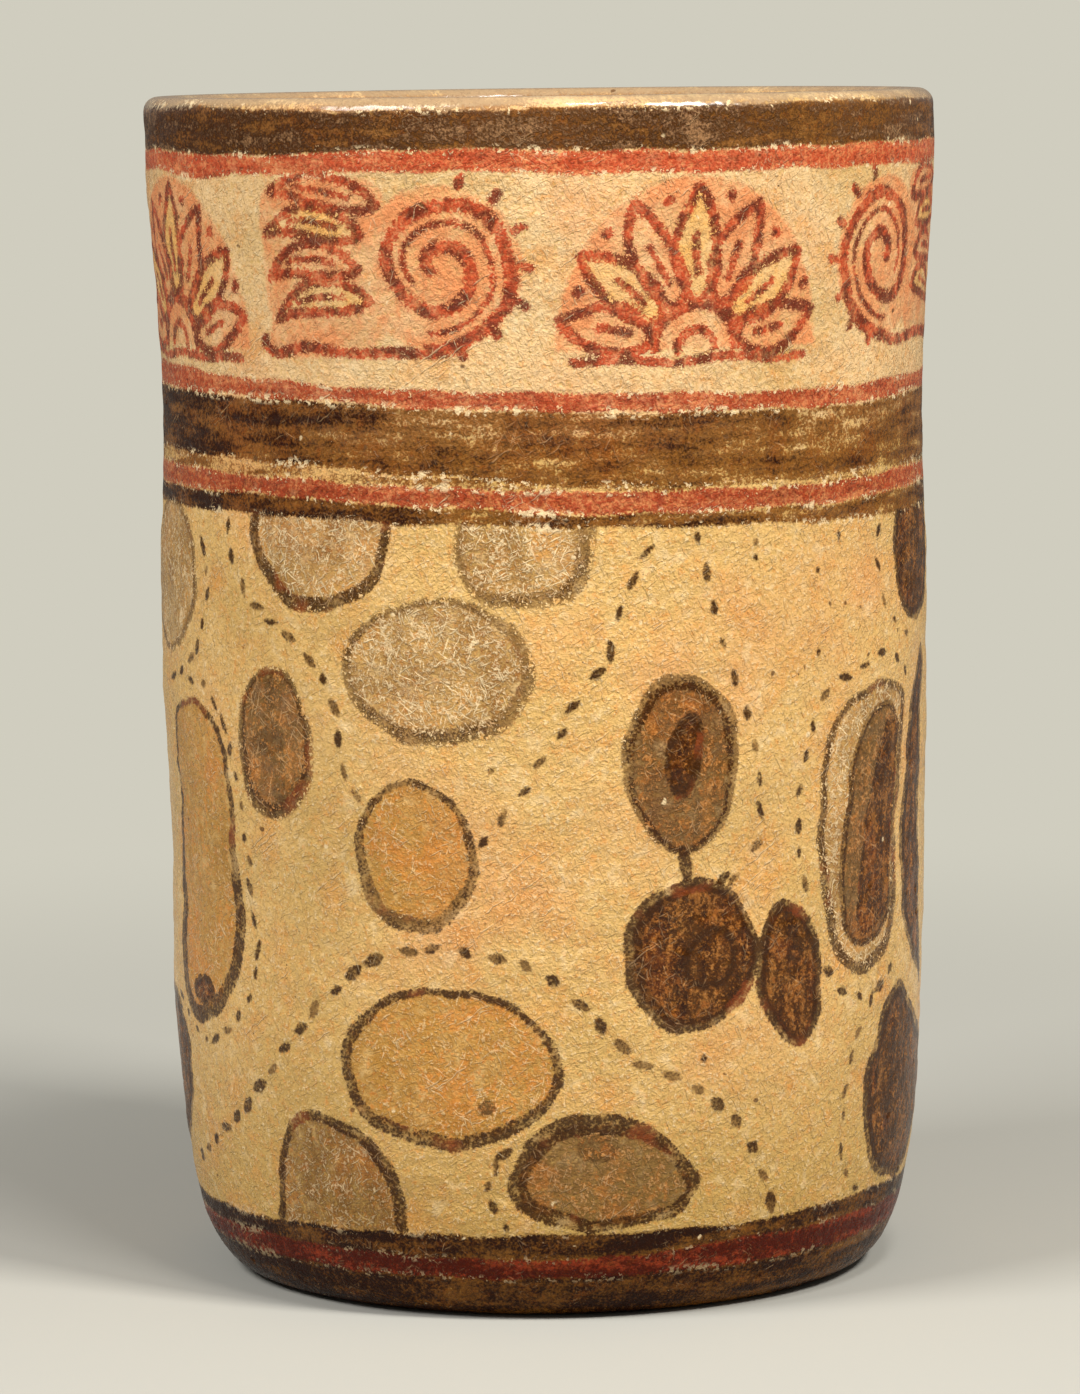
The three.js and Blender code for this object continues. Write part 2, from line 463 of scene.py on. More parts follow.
class Body:
    """The whole body before it is cut: places and normals on a grid of columns and rows, in metres."""

    def __init__(self, shape):
        lows = [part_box(node)[0].z for node in COIL_NODES + ["lip_coil"]]
        self.radius, self.height, self.outside_seams, self.inside_seams = body_profile(shape, lows)
        self.rows = len(self.radius)
        self.columns = shape.columns
        profile = bpy.data.meshes.new("profile")
        # Curve to Mesh lays a profile's x outwards and its y downwards
        corners = [(r - shape.body_radius, -z, 0.0) for r, z in zip(self.radius, self.height)]
        profile.from_pydata(corners, [(i, i + 1) for i in range(self.rows - 1)], [])
        made = run_tree(profile, turned_body_tree(), {
            "Columns": shape.columns, "Axis Radius": shape.body_radius, "Waviness": shape.waviness,
            "Scrape": shape.scrape, "Pitting": shape.pitting, "Wrinkle": shape.wrinkle,
        })
        spot = tuple(read_points(made, name, "value", 1, np.int32) for name in ("column", "row"))
        fields = {}
        for name in ("position", "slip_clouds", "streaks"):
            fields[name] = np.zeros((self.columns, self.rows, 3))
            fields[name][spot] = read_points(made, name, "vector", 3, np.float32)
        self.places = fields.pop("position")
        self.mottling = fields
        bpy.data.meshes.remove(made)
        bpy.data.meshes.remove(profile)
        angle = 2 * np.pi * np.arange(self.columns) / self.columns
        start = math.atan2(self.places[0, self.rows // 2, 1], self.places[0, self.rows // 2, 0])
        # Angle from the front, anticlockwise seen from above
        self.angle = (angle + start + np.pi / 2 + np.pi) % (2 * np.pi) - np.pi
        self.normals = self.smooth_normals()
        self.crest = int(np.argmax(self.height))  # row on top of the lip
        self.outside = np.arange(self.rows) <= self.crest
        self.reach = self.surface_reach()

    def smooth_normals(self):
        around = np.roll(self.places, -1, 0) - np.roll(self.places, 1, 0)
        up = np.zeros_like(self.places)
        up[:, 1:-1] = self.places[:, 2:] - self.places[:, :-2]
        normal = np.cross(around, up)
        normal[:, 0] = (0, 0, -1)
        normal[:, -1] = (0, 0, 1)
        return normal / np.maximum(np.linalg.norm(normal, axis=2, keepdims=True), 1e-12)

    def surface_reach(self):
        """Height of each row in mm, run on as arc length over the lip, and below zero underneath."""
        step = np.hypot(np.diff(self.radius), np.diff(self.height))
        length = np.concatenate([[0], np.cumsum(step)])
        past_lip = self.height[self.crest] + length - length[self.crest]
        reach = np.where(self.outside, self.height, past_lip)
        underneath = (self.height <= 0) & self.outside
        return np.where(underneath, self.radius - self.radius[underneath].max(), reach) / MM


@functools.lru_cache(maxsize=1)
def body():
    return Body(bpy.context.scene.vase_shape)


# The painted pattern, in millimetres on the flat picture plane

# Heights of the bands' edges at some places round the vase. Rings painted free-hand sag and rise.
RING_EDGES = {
    "foot": ((0, -1.2),),
    "low_red_bottom": ((-60, 7.0), (-10, 6.8), (30, 7.3), (60, 7.8), (150, 7.4)),
    "low_red_top": ((-60, 10.4), (-10, 9.9), (12, 10.2), (30, 11.5), (65, 12.0), (150, 10.8)),
    "line_top": ((-60, 13.0), (-25, 13.6), (5, 14.0), (30, 13.9), (60, 15.0), (150, 13.8)),
    "thin_brown_bottom": ((-75, 121.3), (-40, 121.2), (-15, 120.6), (15, 119.9), (60, 119.1), (150, 120.6)),
    "third_red_bottom": (
        (-75, 124.2), (-45, 124.3), (-20, 123.3), (10, 121.9), (45, 121.9), (75, 122.9), (150, 123.8),
    ),
    "third_red_top": (
        (-75, 127.6), (-45, 127.0), (-20, 126.2), (10, 125.3), (45, 125.0), (75, 126.0), (150, 127.2),
    ),
    "wide_brown_bottom": (
        (-75, 129.6), (-45, 129.3), (-20, 127.9), (5, 126.1), (30, 125.6), (70, 126.3), (150, 128.3),
    ),
    "wide_brown_top": (
        (-75, 139.1), (-40, 138.6), (-10, 137.4), (20, 136.6), (50, 136.4), (80, 137.3), (150, 138.7),
    ),
    "second_red_bottom": (
        (-75, 139.2), (-40, 138.7), (-10, 137.5), (20, 136.8), (50, 136.5), (80, 137.4), (150, 138.8),
    ),
    "second_red_top": (
        (-80, 143.0), (-50, 141.7), (-20, 140.4), (10, 139.8), (40, 139.2), (80, 140.0), (150, 142.4),
    ),
    "first_red_bottom": (
        (-75, 172.3), (-60, 171.3), (-40, 172.1), (-15, 172.4), (10, 171.8), (75, 172.1), (150, 172.2),
    ),
    "rim_brown_bottom": ((-75, 175.3), (-50, 174.7), (-15, 175.6), (20, 175.1), (75, 175.5), (150, 175.2)),
    "rim_brown_top": ((-60, 182.2), (-35, 181.3), (0, 181.5), (60, 182.0), (150, 181.4)),
    "inner_brown_top": ((-90, 188.6), (30, 188.0), (150, 188.9)),
    "inner_brown_bottom": ((-90, 195.6), (0, 194.6), (60, 196.2), (150, 195.0)),
}
# Lower edge, upper edge, and how thick the film of brown is: a share of its strength at that
# place round the vase, and what is added to that
BROWN_BANDS = (
    ("foot", "line_top", 0.8, 0.44), ("thin_brown_bottom", "third_red_bottom", 1.0, 0.1),
    ("wide_brown_bottom", "wide_brown_top", 1.0, 0.0), ("rim_brown_bottom", "rim_brown_top", 0.5, 0.60),
    ("third_red_top", "wide_brown_bottom", 0.5, -0.15), ("rim_brown_top", "inner_brown_top", 0.40, 0.0),
    ("inner_brown_top", "inner_brown_bottom", 0.6, 0.2),
)
RED_BANDS = (
    ("low_red_bottom", "low_red_top"), ("third_red_bottom", "third_red_top"),
    ("second_red_bottom", "second_red_top"), ("first_red_bottom", "rim_brown_bottom"),
)
# How thick the film of brown is at some places round the vase
BAND_STRENGTH = (
    (-90, 0.76), (-62, 0.72), (-45, 0.60), (-25, 0.50), (-8, 0.34), (2, 0.28), (13, 0.52), (24, 0.40),
    (40, 0.32), (58, 0.26), (72, 0.42), (90, 0.66), (150, 0.76),
)

# What a spot is filled with: hue on the scale from grey through ochre to dark, how thickly it
# lies, and how far fibrous scratches have worn it pale
TAN = (0.0, 0.70, 1.0)
GREY = (0.05, 0.76, 0.50)
OLIVE = (0.84, 0.84, 0.40)
OCHRE = (0.5, 0.78, 0.45)
AMBER = (0.88, 1.05, 0.35)
UMBER = (0.92, 0.87, 0.50)
DARK = (1.0, 1.15, 0.25)
FADED = (0.95, 0.92, 0.75)
GROUND_WEAR = 0.5


def smooth_loop(*points, steps=6):
    """A closed curve through points, as a fine polygon."""
    p = np.asarray(points, float)
    before, after, beyond = np.roll(p, 1, 0), np.roll(p, -1, 0), np.roll(p, -2, 0)
    pieces = []
    for t in np.arange(steps) / steps:
        pieces.append(0.5 * (
            2 * p + (after - before) * t + (2 * before - 5 * p + 4 * after - beyond) * t ** 2
            + (3 * p - before - 3 * after + beyond) * t ** 3
        ))
    return np.stack(pieces, 1).reshape(-1, 2)


class Spot:
    """A spot of the hide pattern: outline brushed round a fill, thicker on its heavy side.

    Its size is its half width and half height, or the outline itself.
    """

    def __init__(self, x, z, size, fill, line=2.0, heavy=(0, 0.0), tone=0.35, strength=0.8,
                 lean=0, square=2.0, egg=0.0):
        self.x, self.z = x, z
        self.fill, self.line, self.heavy = fill, line, heavy
        self.tone, self.strength = tone, strength
        self.edge = self.oval(*size, math.radians(lean), square, egg) if len(size) == 2 else size

    def oval(self, half_x, half_z, lean, square, egg):
        turn = np.linspace(0, 2 * np.pi, 49)[:-1]
        across = half_x * np.sign(np.cos(turn)) * np.abs(np.cos(turn)) ** (2 / square)
        up = half_z * np.sign(np.sin(turn)) * np.abs(np.sin(turn)) ** (2 / square)
        across = across * (1 + egg * up / half_z)
        return np.stack([
            self.x + across * math.cos(lean) - up * math.sin(lean),
            self.z + across * math.sin(lean) + up * math.cos(lean),
        ], 1)


def front_spots():
    """Spots of the front, as the hide pattern has them."""
    arch = smooth_loop(
        (-49.6, 12), (-49.2, 17), (-48, 24), (-45.8, 28.5), (-42, 31), (-36, 31), (-31, 29.5), (-27, 25.6),
        (-24.3, 21), (-23.5, 14), (-23.6, 11.5), (-36, 11),
    )
    pointed = smooth_loop(
        (-7, 21.5), (-6.2, 25), (-3, 29), (2, 32), (8, 32.7), (14, 31), (18.8, 28), (22.2, 24), (24.2, 21),
        (21, 16.8), (15, 15), (8, 14.4), (1, 15), (-4.6, 17.4),
    )
    tall_bean = smooth_loop(
        (-76.5, 88.6), (-72, 91.2), (-66, 91.8), (-61, 90.2), (-57.6, 86.4), (-56, 80), (-55.4, 71),
        (-54.4, 62), (-55, 53), (-58, 47.6), (-63, 43.8), (-69.5, 41.2), (-74.6, 42.6), (-77.6, 48),
        (-77, 60), (-76, 75),
    )
    rosette = smooth_loop(
        (45.6, 76), (46.5, 83.5), (49.3, 89), (53.5, 92.6), (60, 94), (66, 93.4), (70.4, 91), (69, 84),
        (67.6, 74), (67.4, 62), (66.4, 54.4), (61.6, 50.6), (56.5, 49.6), (51.4, 51.6), (48, 56.6), (46, 64),
    )
    rosette_heart = smooth_loop(
        (50.5, 68), (52, 77), (54.4, 85.5), (58.6, 90), (64, 90.4), (67.8, 86), (66.8, 76), (65.8, 66),
        (65, 57.6), (60, 54.4), (54.6, 54.2), (51, 57.6),
    )
    heart_stripe = smooth_loop(
        (56, 56.0), (55, 64), (57, 73), (59.6, 82), (63.8, 88.4), (67.2, 85.6), (66.4, 76), (65.5, 66),
        (64.4, 58),
    )
    crescent = smooth_loop(
        (80.5, 97.5), (75, 92), (72, 85), (70, 76), (69.2, 66), (71, 57), (75, 51), (81, 46), (85, 44.6),
        (81.6, 54), (79.6, 64), (79, 76), (80.2, 86), (83, 93),
    )
    hidden_side = smooth_loop(
        (58.2, 33.4), (60.6, 38.6), (64, 44), (69.4, 46.6), (75, 43.6), (81, 39), (87, 36), (90, 30),
        (88, 22), (82, 17), (74, 15.2), (67, 16.4), (61.6, 19.6), (59.2, 26),
    )
    return [
        Spot(-78, 110.6, (12.4, 12.2), TAN, 1.5, tone=0.2, strength=0.7),
        Spot(-67, 66, tall_bean, OCHRE, 2.0, (-80, 0.45), 0.45, 0.85),
        Spot(-67.8, 46.6, (4.2, 2.4), DARK, 1.2, tone=0.5, strength=0.9),
        Spot(-88.5, 33, (12, 12.5), DARK, 2.2, tone=0.3, strength=0.8),
        Spot(-45.4, 86.8, (8.2, 11.7), FADED, 2.0, (-90, 0.3), 0.7, 0.6, square=2.1),
        Spot(-36.6, 119.6, (13.4, 12.6), TAN, 1.9, (-120, 0.25), 0.7, 0.8),
        Spot(-2.8, 119, (10.6, 10.9), TAN, 2.1, (-20, 0.35), 0.12, 0.7, square=2.6),
        Spot(-16.4, 98.8, (15.1, 11), TAN, 2.0, (-75, 0.4), 0.25, 0.7),
        Spot(-20.4, 71.1, (9.9, 11.6), OCHRE, 1.7, (-100, 0.35), 0.3, 0.7),
        Spot(-16.1, 39.3, (17.9, 12.3), OCHRE, 1.7, (-110, 0.35), 0.45, 0.85),
        Spot(-9.7, 33.4, (1.6, 1.4), UMBER, 0.5, tone=0.4, strength=0.5),
        Spot(-36, 22, arch, GREY, 1.8, (0, 0.2), 0.5, 0.75),
        Spot(8.4, 23.6, pointed, OLIVE, 2.6, (120, 0.3), 0.4, 0.8),
        Spot(7, 27, (3.6, 2.4), UMBER, 0.6, tone=0.5, strength=0.35),
        Spot(20.7, 84.4, (9.4, 13.6), UMBER, 1.8, (80, 0.35), 0.1, 0.65, egg=0.12),
        Spot(21.0, 86, (3.0, 6.4), DARK, 1.3, tone=0.6, strength=0.8, lean=-8),
        Spot(22.3, 55.8, (11.2, 11.7), DARK, 2.2, (180, 0.3), 0.6, 0.9),
        Spot(25.4, 55.2, (4.6, 4.8), DARK, 1.2, tone=0.3, strength=0.95),
        Spot(39.8, 51.6, (6.6, 11.2), DARK, 1.8, tone=0.6, strength=0.8, lean=8),
        Spot(57, 72, rosette, TAN, 1.8, (-90, 0.2), 0.5, 0.75),
        Spot(59, 71, rosette_heart, AMBER, 1.2, (180, 0.3), 0.3, 0.6),
        Spot(62, 71, heart_stripe, DARK, 1.0, tone=0.5, strength=0.4),
        Spot(76, 70, crescent, DARK, 2.4, tone=0.3, strength=0.8),
        Spot(76.4, 114, (10.4, 11.9), DARK, 1.8, tone=0.3, strength=0.7, square=2.3),
        Spot(73, 31, hidden_side, DARK, 2.6, tone=0.35, strength=0.8),
    ]


def back_spots():
    """More spots of the same kind behind, where nothing shows them."""
    return [
        Spot(104, 97, (12, 15), TAN, 2.0, (-60, 0.3), 0.3, 0.8, lean=12),
        Spot(101, 61, (10.5, 9.5), OCHRE, 1.8, (200, 0.3), 0.5, 0.8),
        Spot(112, 30, (13, 11), GREY, 2.1, (-90, 0.3), 0.35, 0.8, lean=-8),
        Spot(129, 118, (13, 11.5), TAN, 2.0, (-100, 0.3), 0.5, 0.8),
        Spot(131, 84, (8.5, 12.5), DARK, 2.0, tone=0.45, strength=0.75, lean=-6),
        Spot(136, 55, (14.5, 11), OCHRE, 1.9, (-80, 0.4), 0.4, 0.85, lean=5),
        Spot(148, 24, (14, 9.5), TAN, 2.2, (100, 0.3), 0.35, 0.8),
        Spot(158, 99, (12.5, 14), UMBER, 2.1, (60, 0.3), 0.4, 0.8, egg=0.1),
        Spot(158.4, 101, (2.6, 4.6), DARK, 1.2, tone=0.5, strength=0.85, lean=10),
        Spot(168, 66, (10, 12), DARK, 2.1, (180, 0.3), 0.55, 0.85),
        Spot(180, 36, (11.5, 13), OCHRE, 1.9, (-90, 0.3), 0.45, 0.85, lean=10),
        Spot(-177, 118, (11, 10.5), TAN, 2.0, tone=0.2, strength=0.7, square=2.4),
        Spot(-168, 84, (12, 11.5), TAN, 2.0, (-70, 0.35), 0.3, 0.75),
        Spot(-158, 53, (9.5, 12.5), OCHRE, 1.8, (-90, 0.3), 0.4, 0.8, lean=-10),
        Spot(-153, 22, (13.5, 9.5), GREY, 2.2, tone=0.4, strength=0.8),
        Spot(-146, 108, (9.5, 13), DARK, 2.0, (-90, 0.3), 0.6, 0.7, lean=6),
        Spot(-133, 72, (12.5, 14), OCHRE, 2.0, (-60, 0.4), 0.45, 0.85),
        Spot(-131.6, 64, (3.4, 2.4), DARK, 1.2, tone=0.5, strength=0.85),
        Spot(-121, 35, (13, 12), TAN, 2.0, (-100, 0.3), 0.35, 0.8, lean=-12),
        Spot(-116, 115, (12, 12.5), TAN, 1.9, tone=0.6, strength=0.8),
        Spot(-104, 82, (9, 13.5), DARK, 2.1, (0, 0.3), 0.4, 0.8),
        Spot(-100, 52, (8.5, 8), UMBER, 1.9, tone=0.5, strength=0.8),
    ]


def dotted(count, *places, width=1.15):
    """A dotted line: how many dabs it has, the places that it passes through, and the dabs' width."""
    return count, places, width


DOTTED_LINES = (
    dotted(12, (-56, 118.5), (-54, 113), (-49.6, 107.8), (-42.2, 104), (-38, 100.2), (-34.2, 96.6),
           (-32.8, 91), (-31.7, 83.4), (-29.6, 80.4)),
    dotted(8, (-76.5, 94.7), (-69.8, 97.1), (-65, 101), (-62.6, 105.6), (-62, 110.4), (-63.5, 116)),
    dotted(21, (-67.8, 94.5), (-63, 94.6), (-59.9, 91.9), (-56.2, 86), (-53.8, 77.2), (-52.4, 69.3),
           (-52.1, 61), (-51.2, 54), (-53.4, 47.6), (-59.8, 41.6), (-67, 39), (-74, 41), (-80, 44)),
    dotted(11, (15.1, 116), (11.2, 107.4), (8.4, 100.2), (4.4, 93.6), (0.1, 86.5), (-5, 79.4), (-9.7, 74)),
    dotted(11, (23.5, 118), (25.2, 111.4), (27.4, 103.4), (30.8, 93.6), (33.4, 86), (34.2, 76), (32.9, 69.9),
           (29.7, 67)),
    dotted(31, (-76, 19.5), (-65, 24.8), (-56, 30.2), (-48.5, 36.4), (-40.7, 45.1), (-33.4, 51.4),
           (-25.8, 55.7), (-16.3, 57.4), (-7.3, 55.9), (0.1, 53.1), (7.1, 46.8), (15, 39.6), (22, 36.2),
           (29.3, 30.2), (35.3, 21.9), (37.8, 17.3), width=1.75),
    dotted(5, (60.5, 116.5), (60.9, 111), (63, 105.6), (67.2, 102), (71, 100)),
    dotted(12, (70.6, 94.6), (66.6, 97.2), (61.4, 98), (55, 96.4), (49, 94.8), (45.2, 90.4), (42.4, 83.6),
           (41.3, 76.4), (41.7, 69), (42.8, 64.4)),
    dotted(5, (48.2, 51.2), (51, 47.9), (55, 46.2), (60, 46.4), (65.4, 48.8), width=1.5),
    dotted(8, (59, 44.8), (55.6, 40), (53.6, 34.4), (52.8, 28), (52.8, 21.8), (54.8, 18.4), (58.4, 16.2)),
    dotted(5, (-7, 26.8), (-9.6, 23), (-9.4, 19), (-7.5, 15.6)),
    dotted(8, (92, 118), (90, 108), (95, 84), (88, 78)),
    dotted(24, (114, 117), (118, 104), (119, 88), (117, 72), (118, 52), (128, 42), (142, 38), (156, 40),
           (164, 50)),
    dotted(15, (146, 117), (144, 108), (143, 92), (150, 78), (154, 64), (153, 50)),
    dotted(11, (176, 104), (178, 92), (180, 74), (183, 56)),
    dotted(20, (-162, 116), (-158, 104), (-153, 90), (-148, 76), (-146, 60), (-144, 44), (-138, 26)),
    dotted(12, (-168, 17), (-170, 30), (-166, 44), (-170, 62), (-174, 72)),
    dotted(21, (-131, 118), (-130, 106), (-126, 94), (-117, 88), (-115, 72), (-112, 60), (-105, 40),
           (-100, 24)),
)
DAB_LENGTH = 1.9  # mm between the ends of a dab's middle line
DAB_STRAY = 0.35  # mm that a dab may lie off its place, each way
# Single touches of the brush: its two ends and its width
SHORT_STROKES = (
    (((20.5, 71.8), (21.6, 67.4)), 2.2), (((28.2, 67.6), (26.6, 66.2)), 1.6),
    (((-8.3, 84.1), (-8.0, 84.6)), 1.2),
    (((45.4, 112.2), (45.6, 111.6)), 1.0), (((45.3, 100.2), (45.3, 99.4)), 1.0),
    (((33.3, 117.4), (33.3, 116.6)), 1.0), (((33.3, 114.9), (33.4, 114.2)), 0.9),
    (((50.3, 117.3), (50.3, 116.5)), 1.0), (((24.0, 40.4), (24.2, 39.9)), 1.1),
)


def dabs_tree():
    """Sets short brush dabs along a path, each a little off its place and turn."""
    numbers = [
        ("Count", "Int", 10), ("Dab Length", "Float", 1.0), ("Stray", "Float", 0.4), ("Seed", "Int", 0),
    ]
    tree, given, result = new_modifier_tree("brush_dabs", "Path", numbers, "Dabs")

    def random(kind, low, high, offset):
        seed = Number(given["Seed"]) + float(offset)
        first, made = {"FLOAT_VECTOR": (0, 0), "FLOAT": (2, 1)}[kind]
        values = {first: low, first + 1: high, "Seed": seed}
        return put(tree, "FunctionNodeRandomValue", values, data_type=kind).outputs[made]

    path = put(tree, "GeometryNodeMeshToCurve", {"Mesh": given["Path"]})
    smooth = put(tree, "GeometryNodeCurveSplineType", {"Curve": path.outputs[0]}, spline_type="CATMULL_ROM")
    places = put(tree, "GeometryNodeResampleCurve", {"Curve": smooth.outputs[0], "Count": given["Count"]})
    dab = put(
        tree, "GeometryNodeMeshLine",
        {"Count": 2, "Start Location": (0, 0, 0), "Offset": (1, 0, 0)}, mode="OFFSET",
    )
    centred = put(tree, "GeometryNodeTransform", {"Geometry": dab.outputs[0], "Translation": (-0.5, 0, 0)})
    tangent = put(tree, "GeometryNodeInputTangent").outputs[0]
    along = put(tree, "FunctionNodeAlignEulerToVector", {"Vector": tangent}, axis="X", pivot_axis="Z")
    turned = put(
        tree, "FunctionNodeRotateEuler",
        {"Rotation": along.outputs[0], "Rotate By": random("FLOAT_VECTOR", (0, 0, -0.5), (0, 0, 0.5), 7)},
    )
    length = Number(random("FLOAT", 0.5, 1.5, 11)) * given["Dab Length"]
    scale = put(tree, "ShaderNodeCombineXYZ", {"X": length, "Y": 1.0, "Z": 1.0}).outputs[0]
    dabs = put(tree, "GeometryNodeInstanceOnPoints", {
        "Points": places.outputs[0], "Instance": centred.outputs[0],
        "Rotation": turned.outputs[0], "Scale": scale,
    })
    stray = scaled(random("FLOAT_VECTOR", (-1, -1, 0), (1, 1, 0), 23), given["Stray"])
    moved = put(tree, "GeometryNodeTranslateInstances", {"Instances": dabs.outputs[0], "Translation": stray})
    end_modifier_tree(tree, moved.outputs[0], given, result)
    return tree


def brush_dabs():
    """Each dab's middle line, as an array of end by x and z, and its width."""
    tree = dabs_tree()
    dabs = []
    for seed, (count, points, width) in enumerate(DOTTED_LINES):
        path = bpy.data.meshes.new("dotted_line")
        path.from_pydata([(x, z, 0) for x, z in points], [(i, i + 1) for i in range(len(points) - 1)], [])
        made = run_tree(path, tree, {
            "Count": count, "Dab Length": DAB_LENGTH, "Stray": DAB_STRAY, "Seed": seed,
        })
        for ends in read_points(made, "position", "vector", 3, np.float32).reshape(-1, 2, 3)[..., :2]:
            dabs.append((ends, width * (1 + 0.2 * math.sin(3.1 * ends[0][0] + ends[0][1]))))
        bpy.data.meshes.remove(made)
        bpy.data.meshes.remove(path)
    return dabs + [(np.array(line), width) for line, width in SHORT_STROKES]


# The frieze below the rim: scrolls with plumes, and fans of petals, in turn
FRIEZE_UNITS = 8
FRIEZE_MIDDLE = 157.4
SCROLL_MIDDLE = np.array([-8.6, 0.6])
SCROLL_RADIUS = 11.0
SCROLL_EYE = 1.2  # radius at which the scroll ends
PLUMES = (  # root and tip of each plume, and how far it bends upwards
    ((1.0, 9.2), (19.6, 11.4), 1.6), ((3.6, 5.0), (20.6, 5.4), 2.0), ((4.0, 0.2), (20.2, -1.2), 2.2),
    ((2.6, -4.6), (19.0, -7.4), 2.2),
)
PETALS = 7
FAN_MIDDLE = np.array([0.0, -11.5])


def direction(angle):
    """Unit vector at each angle, in radians from +x."""
    return np.stack([np.cos(angle), np.sin(angle)], -1)


def closed(outline):
    return np.vstack([outline, outline[:1]])


def leaf(root, tip, bend, half_width):
    """Outline and midrib of a leaf whose middle bends off the straight line."""
    root, tip = np.array(root, float), np.array(tip, float)
    along = tip - root
    across = np.array([-along[1], along[0]]) / np.linalg.norm(along)
    share = np.linspace(0, 1, 13)[:, None]
    middle = root + share * along + 4 * bend * share * (1 - share) * across
    half = half_width * np.sin(np.pi * share ** 0.8) ** 0.8
    outline = np.vstack([middle + half * across, (middle - half * across)[::-1]])
    return outline, middle[3:10]


def scroll_motif():
    """Lines (points, width) and washes (outline, tone) of one scroll with its plumes."""
    turn = np.linspace(0, 1, 70)
    radius = (SCROLL_RADIUS * (1 - turn) ** 0.9 + SCROLL_EYE)[:, None]
    ray = direction(math.radians(-82) - turn * math.radians(640))
    tail = smooth_loop((-8.0, -11.4), (2, -12.4), (12, -11.4), (19.5, -12.6), (21.4, -9.8), (12, -10.4))[:24]
    inner = SCROLL_MIDDLE + (radius - 2.6).clip(0.4) * ray
    lines = [(SCROLL_MIDDLE + radius * ray, 2.2), (inner[:34], 1.0), (tail, 1.8)]
    disc = direction(np.linspace(0, 2 * np.pi, 33)[:-1]) * (12.6, 12.2) + (-8.4, 0.4)
    behind = smooth_loop(
        (0, 11.5), (10, 13), (20.5, 12), (21.5, 2), (20.5, -8), (21, -12.6), (8, -12.4), (0, -9)
    )
    washes = [(disc, 0.15), (behind, 0.3)]
    for number, (root, tip, bend) in enumerate(PLUMES):
        outline, midrib = leaf(root, tip, bend, 2.3)
        lines += [(closed(outline), 1.6), (midrib, 1.1)]
        washes.append((outline, 0.8 if number % 2 else 0.1))
    for degrees in range(105, 256, 25):
        tick = np.outer([12.3, 13.6], direction(math.radians(degrees)))
        lines.append((SCROLL_MIDDLE + tick, 1.5))
    return lines, washes


def petal_motif():
    """A fan of petals over nested arches, with a bead between each two petals."""
    half = direction(np.linspace(0, math.pi, 30))
    lines, washes = [], [(half * (21.5, 25.5) + FAN_MIDDLE, 0.2)]
    for number in range(PETALS):
        angle = math.pi * (number + 0.5) / PETALS
        reach = 20.5 + 3.4 * math.sin(angle)
        outline, midrib = leaf(
            FAN_MIDDLE + 7.0 * direction(angle), FAN_MIDDLE + reach * direction(angle), 0.0, 3.4
        )
        lines += [(closed(outline), 1.7), (midrib[:5], 1.3)]
        washes.append((outline, 0.85 if number % 2 else 0.25))
        if number:
            between = math.pi * number / PETALS
            bead = FAN_MIDDLE + (19.0 + 3.6 * math.sin(between)) * direction(between)
            lines.append((np.stack([bead, bead + (0.2, 0.2)]), 1.8))
    for radius, width in ((6.6, 1.6), (3.0, 1.5)):
        lines.append((FAN_MIDDLE + radius * half, width))
    lines.append((np.array([[-19, -12.8], [-8, -13.2], [8, -12.8], [19, -13.2]]), 1.5))
    return lines, washes


def segment_distance(x, z, points):
    """Distance from each place to a line through points."""
    best = np.full(np.broadcast(x, z).shape, 1e3)
    for (x0, z0), (x1, z1) in zip(points[:-1], points[1:]):
        dx, dz = x1 - x0, z1 - z0
        along = np.clip(((x - x0) * dx + (z - z0) * dz) / max(dx * dx + dz * dz, 1e-9), 0, 1)
        np.minimum(best, np.hypot(x - x0 - along * dx, z - z0 - along * dz), out=best)
    return best


def depth_inside(x, z, points):
    """Distance to a closed outline, positive inside it."""
    loop = closed(points)
    inside = np.zeros(np.broadcast(x, z).shape, bool)
    for (x0, z0), (x1, z1) in zip(loop[:-1], loop[1:]):
        if z0 != z1:
            crossing = x0 + (z - z0) * (x1 - x0) / (z1 - z0)
            inside ^= ((z0 > z) != (z1 > z)) & (x < crossing)
    distance = segment_distance(x, z, loop)
    return np.where(inside, distance, -distance)


